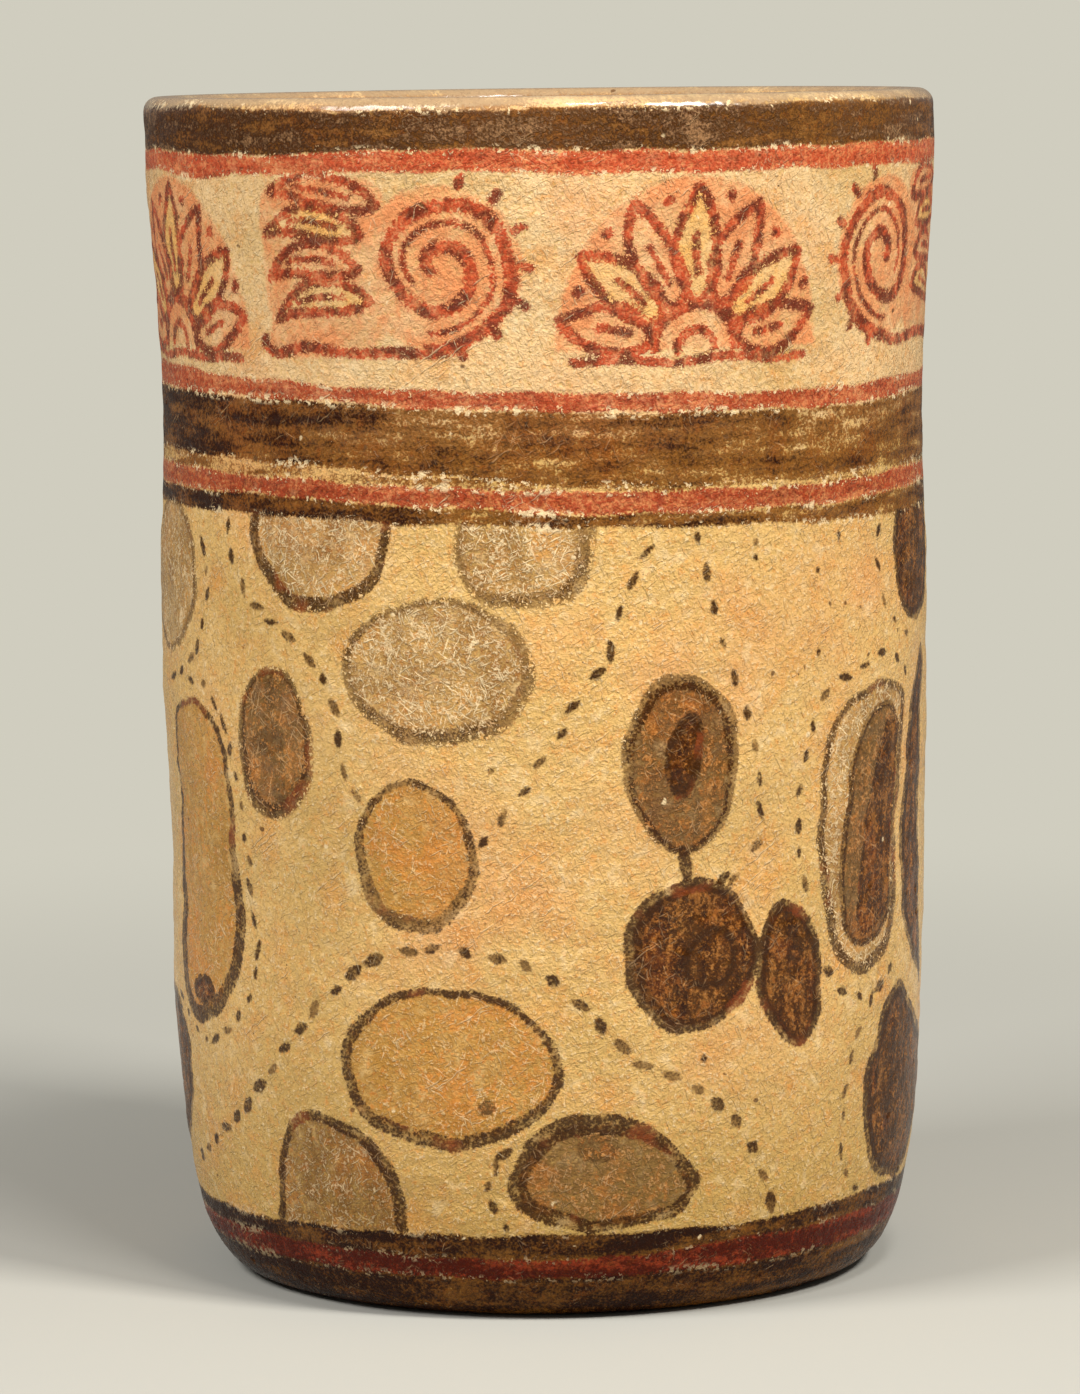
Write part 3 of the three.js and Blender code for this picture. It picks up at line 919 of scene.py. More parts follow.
class Painting:
    """The layers of paint: distances inside the painted shapes in mm, and how each is painted.

    Each layer holds three numbers for every column and row of the body.
    """

    REACH = 3.0  # mm past a shape's edge that its distance is worked out

    def __init__(self, vase):
        self.x = vase.angle * PAINT_RADIUS
        self.z = vase.reach
        names = ("band_paint", "brush_paint", "spot_fill", "frieze_paint", "clay_side", "dabs_and_wear")
        self.layers = {name: np.full((vase.columns, vase.rows, 3), -self.REACH) for name in names}
        self.layers["dabs_and_wear"][..., 2] = GROUND_WEAR
        self.paint_bands()
        for spot in front_spots() + back_spots():
            self.paint_spot(spot)
        for ends, width in brush_dabs():
            self.paint_dab(ends, width)
        self.paint_frieze()
        past_lip = np.clip(self.z - (vase.height.max() / MM + 2.0), 0, None)
        side = self.layers["clay_side"]
        side[..., 0] = np.where(vase.outside, 0, past_lip)
        side[..., 1] = np.clip(-self.z, 0, None)
        side[..., 2] = 0

    def edge(self, name):
        """Height of a ring's edge at each column, eased between its points, with a slight tremor."""
        places, heights = np.array(RING_EDGES[name], float).T
        places = np.concatenate([places - TURN, places, places + TURN])
        heights = np.tile(heights, 3)
        index = np.clip(np.searchsorted(places, self.x) - 1, 0, len(places) - 2)
        along = (self.x - places[index]) / (places[index + 1] - places[index])
        ease = (1 - np.cos(np.pi * along)) / 2
        turn = self.x / PAINT_RADIUS
        tremor = 0.13 * np.sin(17 * turn + len(name)) + 0.09 * np.sin(29 * turn + 2 * len(name))
        return heights[index] + (heights[index + 1] - heights[index]) * ease + tremor

    def between(self, low, high):
        """Distance inside the band between two ring edges."""
        return np.minimum(self.z - self.edge(low)[:, None], self.edge(high)[:, None] - self.z)

    def paint_bands(self):
        bands = self.layers["band_paint"]
        places, amounts = np.array(BAND_STRENGTH, float).T
        strength = np.interp(self.x, places, amounts, period=TURN)[:, None]
        for low, high, share, extra in BROWN_BANDS:
            within = self.between(low, high)
            bands[..., 2] = np.where(within > bands[..., 0], share * strength + extra, bands[..., 2])
            np.maximum(bands[..., 0], within, out=bands[..., 0])
        for low, high in RED_BANDS:
            np.maximum(bands[..., 1], self.between(low, high), out=bands[..., 1])

    def window(self, points):
        """Columns and rows near some points, with the places there."""
        low, high = points.min(0), points.max(0)
        middle = (low[0] + high[0]) / 2
        away = (self.x - middle + TURN / 2) % TURN - TURN / 2
        columns = np.nonzero(np.abs(away) <= (high[0] - low[0]) / 2 + self.REACH)[0]
        rows = np.nonzero((self.z >= low[1] - self.REACH) & (self.z <= high[1] + self.REACH))[0]
        return np.ix_(columns, rows), (middle + away[columns])[:, None], self.z[rows][None, :]

    def lay(self, name, window, distance, first, second=None):
        """Lays a shape over the earlier ones: its values hold inside it, and where it is the nearest."""
        patch = self.layers[name][window]
        wins = distance > np.minimum(patch[..., 0], 0)
        patch[..., 1] = np.where(wins, first, patch[..., 1])
        if second is not None:
            patch[..., 2] = np.where(wins, second, patch[..., 2])
        patch[..., 0] = np.maximum(patch[..., 0], distance)
        self.layers[name][window] = patch

    def paint_spot(self, spot):
        window, x, z = self.window(spot.edge)
        # The hand trembles
        x = x + 0.26 * np.sin(z / 2.7 + spot.x) + 0.14 * np.sin(z / 1.3 + spot.z)
        z = z + 0.26 * np.sin(x / 2.3 + spot.z) + 0.14 * np.sin(x / 1.1 + spot.x)
        depth = depth_inside(x, z, spot.edge)
        heavy_angle, unevenness = math.radians(spot.heavy[0]), spot.heavy[1]
        angle = np.arctan2(z - spot.z, x - spot.x)
        half_line = spot.line / 2 * (1 + unevenness * np.cos(angle - heavy_angle))
        columns = window[0]
        below_bands = np.minimum(self.edge("thin_brown_bottom")[columns] + 0.4 - z, 9)
        above_foot = np.minimum(z - self.edge("line_top")[columns] + 0.4, 9)
        clear = np.minimum(below_bands, above_foot)
        line = np.minimum(half_line - np.abs(depth - half_line), clear)
        self.lay("brush_paint", window, line, spot.tone, spot.strength)
        hue, density, wear = spot.fill
        self.lay("spot_fill", window, np.minimum(depth - half_line, clear), hue, density)
        layer = self.layers["dabs_and_wear"]
        patch = layer[window]
        patch[..., 2] = np.where(depth > 0, wear, patch[..., 2])
        layer[window] = patch

    def paint_dab(self, ends, width):
        """A touch of the brush, full in the middle and pointed at both ends."""
        window, x, z = self.window(ends)
        start, along = ends[0], ends[1] - ends[0]
        share = ((x - start[0]) * along[0] + (z - start[1]) * along[1]) / max(along @ along, 1e-9)
        fullness = 1 - 0.45 * np.clip(np.abs(2 * share - 1), 0, 1) ** 2
        distance = width / 2 * fullness - segment_distance(x, z, ends)
        self.lay("dabs_and_wear", window, distance, 0.45 + 0.3 * math.sin(1.7 * ends[0][0] + ends[0][1]))

    def paint_frieze(self):
        frieze = self.layers["frieze_paint"]
        for unit in range(FRIEZE_UNITS):
            lines, washes = scroll_motif() if unit % 2 else petal_motif()
            mirror = -1 if unit % 4 == 3 else 1
            middle = ((unit + 0.5) * TURN / FRIEZE_UNITS, FRIEZE_MIDDLE + 0.6 * math.sin(2.1 * unit))
            for points, width in lines:
                points = points * (mirror, 1) + middle
                window, x, z = self.window(points)
                x = x + 0.3 * np.sin(z / 2.1 + unit)
                z = z + 0.3 * np.sin(x / 2.6 + unit)
                patch = frieze[window]
                patch[..., 2] = np.maximum(patch[..., 2], width / 2 - segment_distance(x, z, points))
                frieze[window] = patch
            for points, tone in washes:
                points = points * (mirror, 1) + middle
                window, x, z = self.window(points)
                self.lay("frieze_paint", window, depth_inside(x, z, points), tone)


@functools.lru_cache(maxsize=1)
def painted_layers():
    return Painting(body()).layers


# Materials: slip, paint and wear, shared by every piece

COLOUR_INPUTS = tuple(VaseColours.__annotations__)
FIBRE_SLANTS = (-62, 24, 58, -18)  # degrees from upright
FIBRE_WIDTH = 0.26  # mm
RELIEF_FIBRES = 2  # slants of them that stand up as relief too
SCRATCH_SLANT = -55
MARK_REACH = 0.25  # of a cell, which sets how thickly the slanted marks are strewn


def slanted_marks_group():
    """Thin marks that climb the wall at a slant, from 0 to 1.

    The vase is wrung about its axis so that the slant stands upright, and cells drawn out
    upright there are thin marks at the slant on the wall, with no seam round it.
    """
    inputs = [("Place", "Vector")]
    inputs += [(name, "Float", 0.2) for name in ("Wring", "Across", "Along", "Thickness")]
    group, given, result = new_group("slanted_marks", inputs, [("Mark", "Float")])
    wring = parts(given["Place"])[2] * given["Wring"]
    wrung = put(
        group, "ShaderNodeVectorRotate", {"Vector": given["Place"], "Angle": wring}, rotation_type="Z_AXIS"
    )
    across = given["Across"]
    scale = put(group, "ShaderNodeCombineXYZ", {"X": across, "Y": across, "Z": given["Along"]})
    cells = vectors("MULTIPLY", wrung.outputs[0], scale.outputs[0])
    distance = put(group, "ShaderNodeTexVoronoi", {"Vector": cells, "Scale": 1.0}).outputs["Distance"]
    thickness = Number(given["Thickness"])
    mark = Number(distance).ramp(thickness * 0.35, thickness, 1.0, 0.0)
    group.links.new(mark.socket, result["Mark"])
    return group


def paint_cover_group():
    """How much of a coat of paint covers a place, from its distance inside the painted edge."""
    names = ("Distance", "Strength", "Ragged", "Softness", "Edge Noise", "Wear")
    inputs = [(name, "Float", 0.5) for name in names]
    group, given, result = new_group("paint_cover", inputs, [("Cover", "Float")])
    distance, strength, ragged, softness, edge_noise, wear = (Number(given[name]) for name in names)
    within = (distance + (edge_noise - 0.5) * ragged).ramp(softness * -1.0, softness)
    near_edge = distance.ramp(0.0, 1.2, 0.14, 0.0)
    left = (strength - (wear + near_edge)).ramp(-0.04, 0.10)
    group.links.new((within * left).socket, result["Cover"])
    return group


class PaintedClay:
    """The node group of the painted and worn surface, laid coat by coat, as colour and finish."""

    def __init__(self):
        inputs = [(name, "Color") for name in COLOUR_INPUTS]
        outputs = [("Color", "Color"), ("Roughness", "Float"), ("Gloss", "Float"), ("Height", "Float")]
        self.group, self.tints, result = new_group("painted_clay", inputs, outputs)
        self.marks_group, self.cover_group = slanted_marks_group(), paint_cover_group()
        self.read_surface()
        self.strew_scratches()
        self.lay_slip()
        self.fill_spots()
        self.paint_frieze()
        self.paint_brown_bands()
        self.paint_red_bands()
        self.paint_outlines()
        self.scratch_coat()
        self.pit_coat()
        self.leave_bare_clay()
        finish = [number.socket for number in (self.roughness(), self.gloss(), self.relief())]
        for made, output in zip([self.coat] + finish, result):
            self.group.links.new(made, output)

    # What the coats are made with

    def mixed(self, share, under, over, blend="MIX"):
        """The colour between two colours, each a socket or one of the vase's colours by name."""
        under, over = (self.tints[c] if isinstance(c, str) else c for c in (under, over))
        node = put(
            self.group, "ShaderNodeMix", {0: share, 6: under, 7: over}, data_type="RGBA", blend_type=blend
        )
        return node.outputs[2]

    def lay(self, cover, colour):
        """Lays a colour over the coats so far."""
        self.coat = self.mixed(cover, self.coat, colour)

    def film(self, cover, colour):
        """Lays a film that darkens the coats so far."""
        self.coat = self.mixed(cover, self.coat, colour, "MULTIPLY")

    def layer(self, name):
        return parts(put(self.group, "ShaderNodeAttribute", attribute_name=name).outputs["Vector"])

    def use(self, group, values):
        """Places a node group, gives it its values and reads the number that it puts out."""
        return Number(put(self.group, "ShaderNodeGroup", values, node_tree=group).outputs[0])

    def covered(self, distance, strength, ragged, softness):
        return self.use(self.cover_group, {
            "Distance": distance, "Strength": strength, "Ragged": ragged, "Softness": softness,
            "Edge Noise": self.edge_noise, "Wear": self.wear,
        })

    def slanted(self, slant, width, length, seed):
        """Marks at one slant, of about the given width and length in mm."""
        lean = math.radians(slant)
        return self.use(self.marks_group, {
            "Place": vectors("ADD", self.bent, (0, 0, seed * 17.0)), "Wring": math.tan(lean) / PAINT_RADIUS,
            "Across": 2 * MARK_REACH * math.cos(lean) / width,
            "Along": 2 * MARK_REACH / (length * math.cos(lean)), "Thickness": MARK_REACH,
        })

    # Unevenness of several sizes

    def read_surface(self):
        self.mm = scaled(put(self.group, "ShaderNodeTexCoord").outputs["Object"], 1 / MM)
        self.height = parts(self.mm)[2]
        self.clouds, self.patches, self.blotches = self.layer("slip_clouds")
        self.level_strokes, self.upright_strokes, self.wiped = self.layer("streaks")
        self.brown_depth, self.red_depth, self.film_thickness = self.layer("band_paint")
        self.brush_depth, self.brush_tone, self.brush_strength = self.layer("brush_paint")
        self.fill_depth, self.fill_hue, self.fill_density = self.layer("spot_fill")
        self.wash_depth, self.wash_tone, self.line_depth = self.layer("frieze_paint")
        self.dab_depth, self.dab_tone, self.worn = self.layer("dabs_and_wear")
        self.fine = noise(self.mm, 0.95, 3, 0.6, seed=3)
        self.grain = noise(self.mm, 0.42, 1, 0.65, seed=4)
        self.rust = noise(self.mm, 1.1, 3, 0.7, contrast=2.6, seed=14)
        self.grit = self.grain * 0.6 + self.fine * 0.4
        self.uneven = self.upright_strokes * 0.2 + (self.blotches * 0.3 + self.grit * 0.5)
        self.edge_noise = self.blotches * 0.3 + (self.fine * 0.35 + self.grain * 0.35)
        self.wear = self.fine * 0.34 + (self.blotches * 0.33 + self.grain * 0.33)

    def strew_scratches(self):
        """Fibrous scratches, a few long ones, and creases."""
        wobble = put(self.group, "ShaderNodeTexNoise", {"Vector": self.mm, "Scale": 0.5, "Detail": 1.0})
        self.bent = vectors("ADD", self.mm, wobble.outputs["Color"])
        fibres = [
            self.slanted(slant, FIBRE_WIDTH, 3.0 + 1.5 * seed, seed)
            for seed, slant in enumerate(FIBRE_SLANTS)
        ]
        self.relief_fibres = functools.reduce(Number.most, fibres[:RELIEF_FIBRES])
        self.fibres = functools.reduce(Number.most, fibres[RELIEF_FIBRES:], self.relief_fibres)
        self.scratches = self.slanted(SCRATCH_SLANT, 0.36, 13.0, 9) * self.patches.ramp(0.66, 0.80)
        folds = noise(self.mm, 1.5, contrast=1.0, seed=9, warp=1.4)
        creases = abs((folds - 0.5) * 22.0).ramp(0.2, 1.0, 1.0, 0.0)
        self.creases = creases * self.fine.ramp(0.35, 0.6)

    # The coats, from the slip outwards

    def lay_slip(self):
        """Buff on the body and cream in the register, both clouded and stained, and olive towards the foot: a
        stain there, and partly painted shade.
        """
        self.coat = self.mixed(self.height.ramp(129, 137), "buff", "cream")
        for cover, colour_name in (
            (self.clouds.ramp(0.45, 1.0, end=0.6), "olive"),
            (self.clouds.ramp(0.50, 0.0, end=0.4), "pink"),
            # Olive towards the foot: a stain, and partly painted shade that makes the body darker towards the
            # bottom
            (self.height.ramp(45, 14, end=0.85), "olive"),
            (self.patches.ramp(0.52, 1.0, end=0.45), "orange"),
            (self.blotches.ramp(0.56, 1.0, end=0.35), "orange"),
            (self.rust.ramp(0.60, 0.95, end=0.50), "orange"),
            (self.blotches.ramp(0.40, 0.05, end=0.35), "bloom"),
            (self.grit.ramp(0.40, 0.15, end=0.60), "olive"),
            (self.grit.ramp(0.60, 0.88, end=0.60), "bloom"),
        ):
            self.lay(cover, colour_name)

    def fill_spots(self):
        """Washes that fill the spots, gritty, and worn pale in places."""
        self.fill_cover = self.covered(self.fill_depth, 1.3, 0.6, 0.35)
        bald = (self.patches * 0.6 + self.blotches * 0.4).ramp(0.42, 0.72, end=0.5) * self.worn.ramp(0.5, 1.0)
        wash = self.fill_cover * (self.fill_density + (self.uneven - 0.5) * 1.5).ramp(0.0, 1.0) * (1.0 - bald)
        grey = self.fill_hue.ramp(0.1, 0.4, 1.0, 0.0)
        self.dark = self.fill_hue.ramp(0.55, 1.0)
        ochre = 1.0 - (grey + self.dark)
        self.film(wash * grey, "grey_film")
        self.film(wash * ochre, "ochre_film")
        self.dark_wash = wash * self.dark
        tone = self.grit * 0.34 + (self.blotches * 0.20 + self.rust * 0.14) + self.upright_strokes * 0.32
        self.film(self.dark_wash, self.mixed(tone.ramp(0.48, 0.66), "dark_film", "band_film"))
        self.film(self.dark_wash * tone.ramp(0.48, 0.28), "band_film")
        self.lay(self.dark_wash * (self.patches + self.rust * 0.5).ramp(0.75, 1.2, end=0.30), "russet")
        stained = self.fill_cover * (self.rust * 0.6 + self.patches * 0.4).ramp(0.48, 0.72, end=0.5)
        stained = stained * self.worn.ramp(0.4, 1.0, 1.0, 0.35)
        self.lay(stained * (ochre + grey * 0.35), "orange")
        pale = self.fill_cover * (self.grit * 0.7 + self.blotches * 0.3).ramp(0.54, 0.76)
        self.lay(pale * self.worn.ramp(0.0, 1.0, 0.15, 0.60), self.mixed(self.dark, "bloom", "orange"))

    def paint_frieze(self):
        wash = (self.uneven * 0.5 + self.patches * 0.5).ramp(0.30, 0.65, 0.25, 0.97)
        wash_colour = self.mixed(self.wash_tone.ramp(0.3, 0.7), "pink", "ochre")
        self.lay(self.covered(self.wash_depth, 0.92, 1.3, 0.5) * wash, wash_colour)
        line = self.covered(self.line_depth, 0.84, 1.6, 0.25) * self.uneven.ramp(0.2, 0.6, 0.55, 0.97)
        self.lay(line, self.mixed(self.blotches.ramp(0.30, 0.70), "red", "wine"))

    def paint_brown_bands(self):
        """A film over the slip, thick in places, worn to the clay on the rim, and grey on the lip: worn
        there, and partly a painted sheen.
        """
        streaks = self.level_strokes * 0.35 + (self.upright_strokes * 0.10 + self.patches * 0.15)
        streaks = streaks + self.grit * 0.40
        self.brown_cover = self.covered(self.brown_depth, 0.92, 1.1, 0.3)
        thickness = self.film_thickness + (streaks - 0.5) * 2.0
        self.film(self.brown_cover * thickness.ramp(-0.2, 0.3), "band_film")
        self.film(self.brown_cover * thickness.ramp(0.28, 1.0), "dark_film")
        rim_wear = self.height.ramp(173, 176) * streaks.ramp(0.44, 0.80, end=0.70)
        self.lay(rim_wear * self.brown_cover, "clay")
        # Grey along the top of the lip: worn, and partly a painted sheen on it
        self.lay((self.height + (streaks - 0.5) * 3.0).ramp(181.4, 182.6, end=0.6), "rubbed")

    def paint_red_bands(self):
        """Red bands, streaked light and dark, with pale chips in clumps along all bands' edges."""
        redness = self.height.ramp(12, 40) * self.height.ramp(120, 176, 0.64, 1.0)
        streaks = self.level_strokes * 0.35 + (self.rust * 0.35 + self.grit * 0.3)
        red = self.mixed(redness, "deep_red", "red")
        red = self.mixed(streaks.ramp(0.52, 0.85, end=0.8), red, "deep_red")
        light_red = self.mixed(self.height.ramp(12, 40), "red", "pink")
        lighter = streaks.ramp(0.55, 0.25, end=0.6) * redness.ramp(0.0, 1.0, 0.75, 1.0)
        red = self.mixed(lighter, red, light_red)
        self.lay(self.covered(self.red_depth, 0.86, 1.3, 0.25) * self.uneven.ramp(0.2, 0.6, 0.75, 0.97), red)
        self.chipped = (self.rust + self.patches * 0.6).ramp(1.02, 1.12)
        at_edge = abs(self.brown_depth).least(abs(self.red_depth)).ramp(0.25, 1.0, 1.0, 0.0)
        self.lay(at_edge * self.chipped * self.height.ramp(8, 40, 0.3, 0.8), "bloom")

    def paint_outlines(self):
        """Outlines and dabs, clotted dark in places, and russet in others."""
        clots = (self.patches - 0.5) + (self.blotches - 0.5) * 0.7 + (self.grit - 0.5) * 1.1
        tone = self.brush_tone + self.dark_wash * 0.6 + clots
        brush_colour = self.mixed(tone.ramp(0.0, 0.5), "grey_brown", "brown")
        russet = (self.brush_tone - (self.patches - 0.5)).ramp(0.60, 0.85)
        brush_colour = self.mixed(russet, brush_colour, "russet")
        strength = self.brush_strength + (1.0 - self.worn) * 0.35
        self.brush_cover = self.covered(self.brush_depth, strength, 1.0, 0.22)
        self.lay(self.brush_cover * self.uneven.ramp(0.2, 0.6, 0.55, 0.95), brush_colour)
        dab_colour = self.mixed((self.dab_tone + clots * 0.5).ramp(0.1, 0.5), "grey_brown", "brown")
        dab_cover = self.covered(self.dab_depth, 1.0, 0.7, 0.25)
        self.lay(dab_cover * self.uneven.ramp(0.2, 0.6, 0.7, 0.97), dab_colour)
        self.lay(self.dark_wash * self.chipped * 0.14, "orange")

    def scratch_coat(self):
        """Fibres through the coat, thickest over the worn spots, golden and faint on the dark paint."""
        self.over_spot = self.fill_depth.ramp(-1.0, 0.8) * self.worn
        felt = self.fibres.most(self.creases * self.over_spot.ramp(0.5, 0.9, end=0.7))
        clusters = self.blotches * 0.5 + self.patches * 0.5 + self.over_spot * 0.40
        cover = felt * clusters.ramp(0.48, 0.84) * self.over_spot.ramp(0.3, 1.0, 0.48, 0.95)
        cover = cover.most(self.scratches * 0.5)
        on_dark = (self.fill_cover * self.dark).most(self.brown_cover.most(self.brush_cover))
        self.fibre_cover = cover * on_dark.ramp(0.0, 1.0, 1.0, 0.60)
        self.lay(self.fibre_cover, self.mixed(on_dark * 0.45, "bloom", "orange"))

    def pit_coat(self):
        """Pale chips, pits with earth in them, dust, and dirt with painted shade in the creases."""
        scattered = specks(self.bent, 5.5, 0.42)
        self.lay(scattered * self.blotches.ramp(0.42, 0.34) * 0.8, "bloom")
        self.lay(scattered * self.blotches.ramp(0.52, 0.60) * 0.85, "earth")
        self.lay(specks(self.mm, 2.4, 0.16) * self.patches.ramp(0.50, 0.66) * 0.7, "earth")
        # A brown film darkens the creases away from the worn spots: dirt, and partly painted shade
        crease_dirt_and_shade = self.creases * self.over_spot.ramp(0.2, 0.5, 1.0, 0.0)
        self.film(crease_dirt_and_shade * self.patches.ramp(0.40, 0.75, end=0.28), "band_film")

    def leave_bare_clay(self):
        """Bare clay inside and underneath, with the marks of wiping."""
        past_lip, underneath, _ = self.layer("clay_side")
        bare = self.mixed(self.wiped.ramp(0.3, 0.9, end=0.5), "clay", "buff")
        bare = self.mixed(self.clouds.ramp(0.4, 1.0, end=0.55), bare, "deposit")
        bare = self.mixed(self.fibre_cover * 0.4, bare, "bloom")
        self.is_bare = (past_lip + self.fine * 1.6).ramp(10.4, 12.0).most(underneath.ramp(0.8, 1.6))
        self.lay(self.is_bare, bare)

    # The finish

    def roughness(self):
        return (self.fine - 0.5) * 0.20 + 0.28 + self.fibre_cover * 0.15 + self.is_bare * 0.30

    def gloss(self):
        """Burnish of the slip, faintest at the foot and on bare clay, and brightest on the lip."""
        burnish = self.height.ramp(0, 40, 0.08, 0.34) * self.is_bare.ramp(0.0, 1.0, 1.0, 0.2)
        return burnish + self.height.ramp(180.5, 182.2, end=0.6)

    def relief(self):
        """Height of the finest grain, fibres, scratches and creases, in metres."""
        flakes = (self.fine * 0.5 + self.blotches * 0.5).ramp(0.50, 0.56)
        relief = self.fine * 0.18 + self.grain * 0.09 + flakes * 0.05
        relief = relief + self.relief_fibres * 0.14 + self.scratches * 0.20 - self.creases * 0.06
        return relief * self.height.ramp(180.5, 182.0, 1.0, 0.4) * MM


@functools.lru_cache(maxsize=1)
def painted_clay():
    return PaintedClay().group


@functools.lru_cache(maxsize=None)
def slip_material(slot):
    """The material of one slot of the record: the painted clay under a burnished gloss."""
    colours = bpy.context.scene.vase_colours
    material = bpy.data.materials.new(slot)
    material.use_nodes = True
    tree = material.node_tree
    tree.nodes.clear()
    clay = put(tree, "ShaderNodeGroup", node_tree=painted_clay())
    for name in COLOUR_INPUTS:
        clay.inputs[name].default_value = linear(getattr(colours, name))
    bump = put(tree, "ShaderNodeBump", {"Height": clay.outputs["Height"], "Strength": 1.0, "Distance": 1.0})
    surface = put(tree, "ShaderNodeBsdfPrincipled", {
        "Base Color": clay.outputs["Color"], "Roughness": clay.outputs["Roughness"],
        "Normal": bump.outputs[0], "IOR": 1.14,
        "Coat Weight": clay.outputs["Gloss"], "Coat Roughness": 0.16, "Coat IOR": 1.5,
    })
    put(tree, "ShaderNodeOutputMaterial", {"Surface": surface.outputs[0]})
    return material


# Pieces

HIDDEN_SHARE = 0.35  # of the map's height for a mm of the surface that hardly shows
SEAM_SHARE = 0.1  # and for one that lies in a seam
MAP_MARGIN = 0.004
BLOCK_MARGIN = 0.01


def span_lengths(vase, section, is_ring):
    """Length in mm of each span between the rows of a section, weighed by how much it shows."""
    rows = np.array(section + section[:1] if is_ring else section)
    length = np.hypot(np.diff(vase.radius[rows]), np.diff(vase.height[rows])) / MM
    shows = vase.outside[rows] & (vase.height[rows] > 0)
    weight = np.where(shows[1:] | shows[:-1], 1.0, HIDDEN_SHARE)
    return length * np.where(np.abs(np.diff(rows)) > 1, SEAM_SHARE, weight)


def bake_map(mesh, vase, lengths, column, row, kept):
    """A UV map that lays the piece's strip in blocks, one above the other, to fill the square."""
    total = lengths.sum()
    blocks = max(1, round(math.sqrt(TURN / total)))
    per_block = math.ceil(vase.columns / blocks)
    block = column[:, :1] // per_block
    across = MAP_MARGIN + (1 - 2 * MAP_MARGIN) * (column - block * per_block) / per_block
    up = np.concatenate([[0], np.cumsum(lengths)])[row] / total
    places = np.stack([across, (block + BLOCK_MARGIN + (1 - 2 * BLOCK_MARGIN) * up) / blocks], 2)
    layer = mesh.uv_layers.new(name="OFBake")
    layer.data.foreach_set("uv", places[kept].reshape(-1).astype(np.float32))


def piece_mesh(name, vase, section, is_ring):
    """A closed mesh over the given rows of the body, in order round the piece's section."""
    columns, count = vase.columns, len(section)
    spans = count if is_ring else count - 1
    start = np.arange(columns)
    column = np.tile(np.stack([start, start + 1, start + 1, start], 1), (spans, 1))
    row = np.repeat(np.array([(low, low, low + 1, low + 1) for low in range(spans)]), columns, axis=0)
    corner = (column % columns) * count + row % count
    kept = np.ones(corner.shape, bool)
    if not is_ring:
        # The first and last rows lie on the axis, and each draws together to one point
        for end in (0, count - 1):
            corner[row == end] = end
        kept[:, 0] = row[:, 0] != 0
        kept[:, 2] = row[:, 2] != count - 1
    used, numbers = np.unique(corner, return_inverse=True)
    faces = [face[keep].tolist() for face, keep in zip(numbers.reshape(corner.shape), kept)]

    def at_corners(values):
        return values[:, section].reshape(-1, 3)[used]

    mesh = bpy.data.meshes.new(name)
    mesh.from_pydata(at_corners(vase.places).tolist(), [], faces)
    mesh.polygons.foreach_set("use_smooth", np.ones(len(mesh.polygons), bool))
    mesh.normals_split_custom_set_from_vertices(at_corners(vase.normals).tolist())
    for layer_name, values in {**painted_layers(), **vase.mottling}.items():
        attribute = mesh.attributes.new(layer_name, "FLOAT_VECTOR", "POINT")
        attribute.data.foreach_set("vector", at_corners(values).reshape(-1).astype(np.float32))
    bake_map(mesh, vase, span_lengths(vase, section, is_ring), column, row, kept)
    return mesh


def record_slot(node):
    """The material slot that the record gives a node."""
    for part in frame["record"]["subparts"]:
        if part["node"] == node:
            return part["material_slot"]
    raise ValueError(f"the record has no slot for {node}")


def add_piece(name, section, is_ring=True):
    """Cuts the piece that takes a node's place out of the body, and gives it the node's slot."""
    slot = record_slot(name)
    mesh = piece_mesh(name, body(), section, is_ring)
    mesh.materials.append(slip_material(slot))
    piece = bpy.data.objects.new(name + "_fired", mesh)
    bpy.context.scene.collection.objects.link(piece)
    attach(piece, "root")
    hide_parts(name)


class VASE_OT_floor_disc(bpy.types.Operator):
    """Builds the floor disc, with its turned-up edge and the banded heel"""

    bl_idname = "vase.floor_disc"
    bl_label = "Floor disc"

    def execute(self, context):
        vase = body()
        below = list(range(vase.outside_seams[0] + 1))
        above = list(range(vase.inside_seams[0], vase.rows))
        add_piece("floor_disc", below + above, is_ring=False)
        return {"FINISHED"}


class VASE_OT_coils(bpy.types.Operator):
    """Builds the heel coil and the wall coils, each from seam to seam"""

    bl_idname = "vase.coils"
    bl_label = "Heel and wall coils"

    def execute(self, context):
        vase = body()
        for number, node in enumerate(COIL_NODES):
            outside = list(range(vase.outside_seams[number], vase.outside_seams[number + 1] + 1))
            inside = list(range(vase.inside_seams[number + 1], vase.inside_seams[number] + 1))
            add_piece(node, outside + inside)
        return {"FINISHED"}


class VASE_OT_lip_coil(bpy.types.Operator):
    """Builds the lip coil, with both of its edges rounded over"""

    bl_idname = "vase.lip_coil"
    bl_label = "Lip coil"

    def execute(self, context):
        vase = body()
        add_piece("lip_coil", list(range(vase.outside_seams[-1], vase.inside_seams[-1] + 1)))
        return {"FINISHED"}


# Stage

LAMPS = (  # name, place, height that it is aimed at, size, power and colour
    ("key", (0.54, -0.48, 0.80), 0.13, 0.20, 9.3, (1.0, 0.98, 0.94)),
    ("fill", (-0.66, -0.46, 0.80), 0.12, 0.40, 8.4, (1, 1, 1)),
    ("top", (0.22, -0.50, 1.10), 0.13, 0.18, 3.6, (1, 1, 1)),
)
GLOW = (1.0, 0.97, 0.92, 1)  # colour of the light from all round
GLOW_STRENGTH = 0.20
FLOOR_HALF = 12.0  # m
FADE = (0.07, 0.5)  # m from the vase's axis between which the floor fades into the backdrop


def add_object(name, data):
    holder = bpy.data.objects.new(name, data)
    bpy.context.scene.collection.objects.link(holder)
    return holder


def looking(place, target):
    return (Vector(target) - Vector(place)).to_track_quat("-Z", "Y")


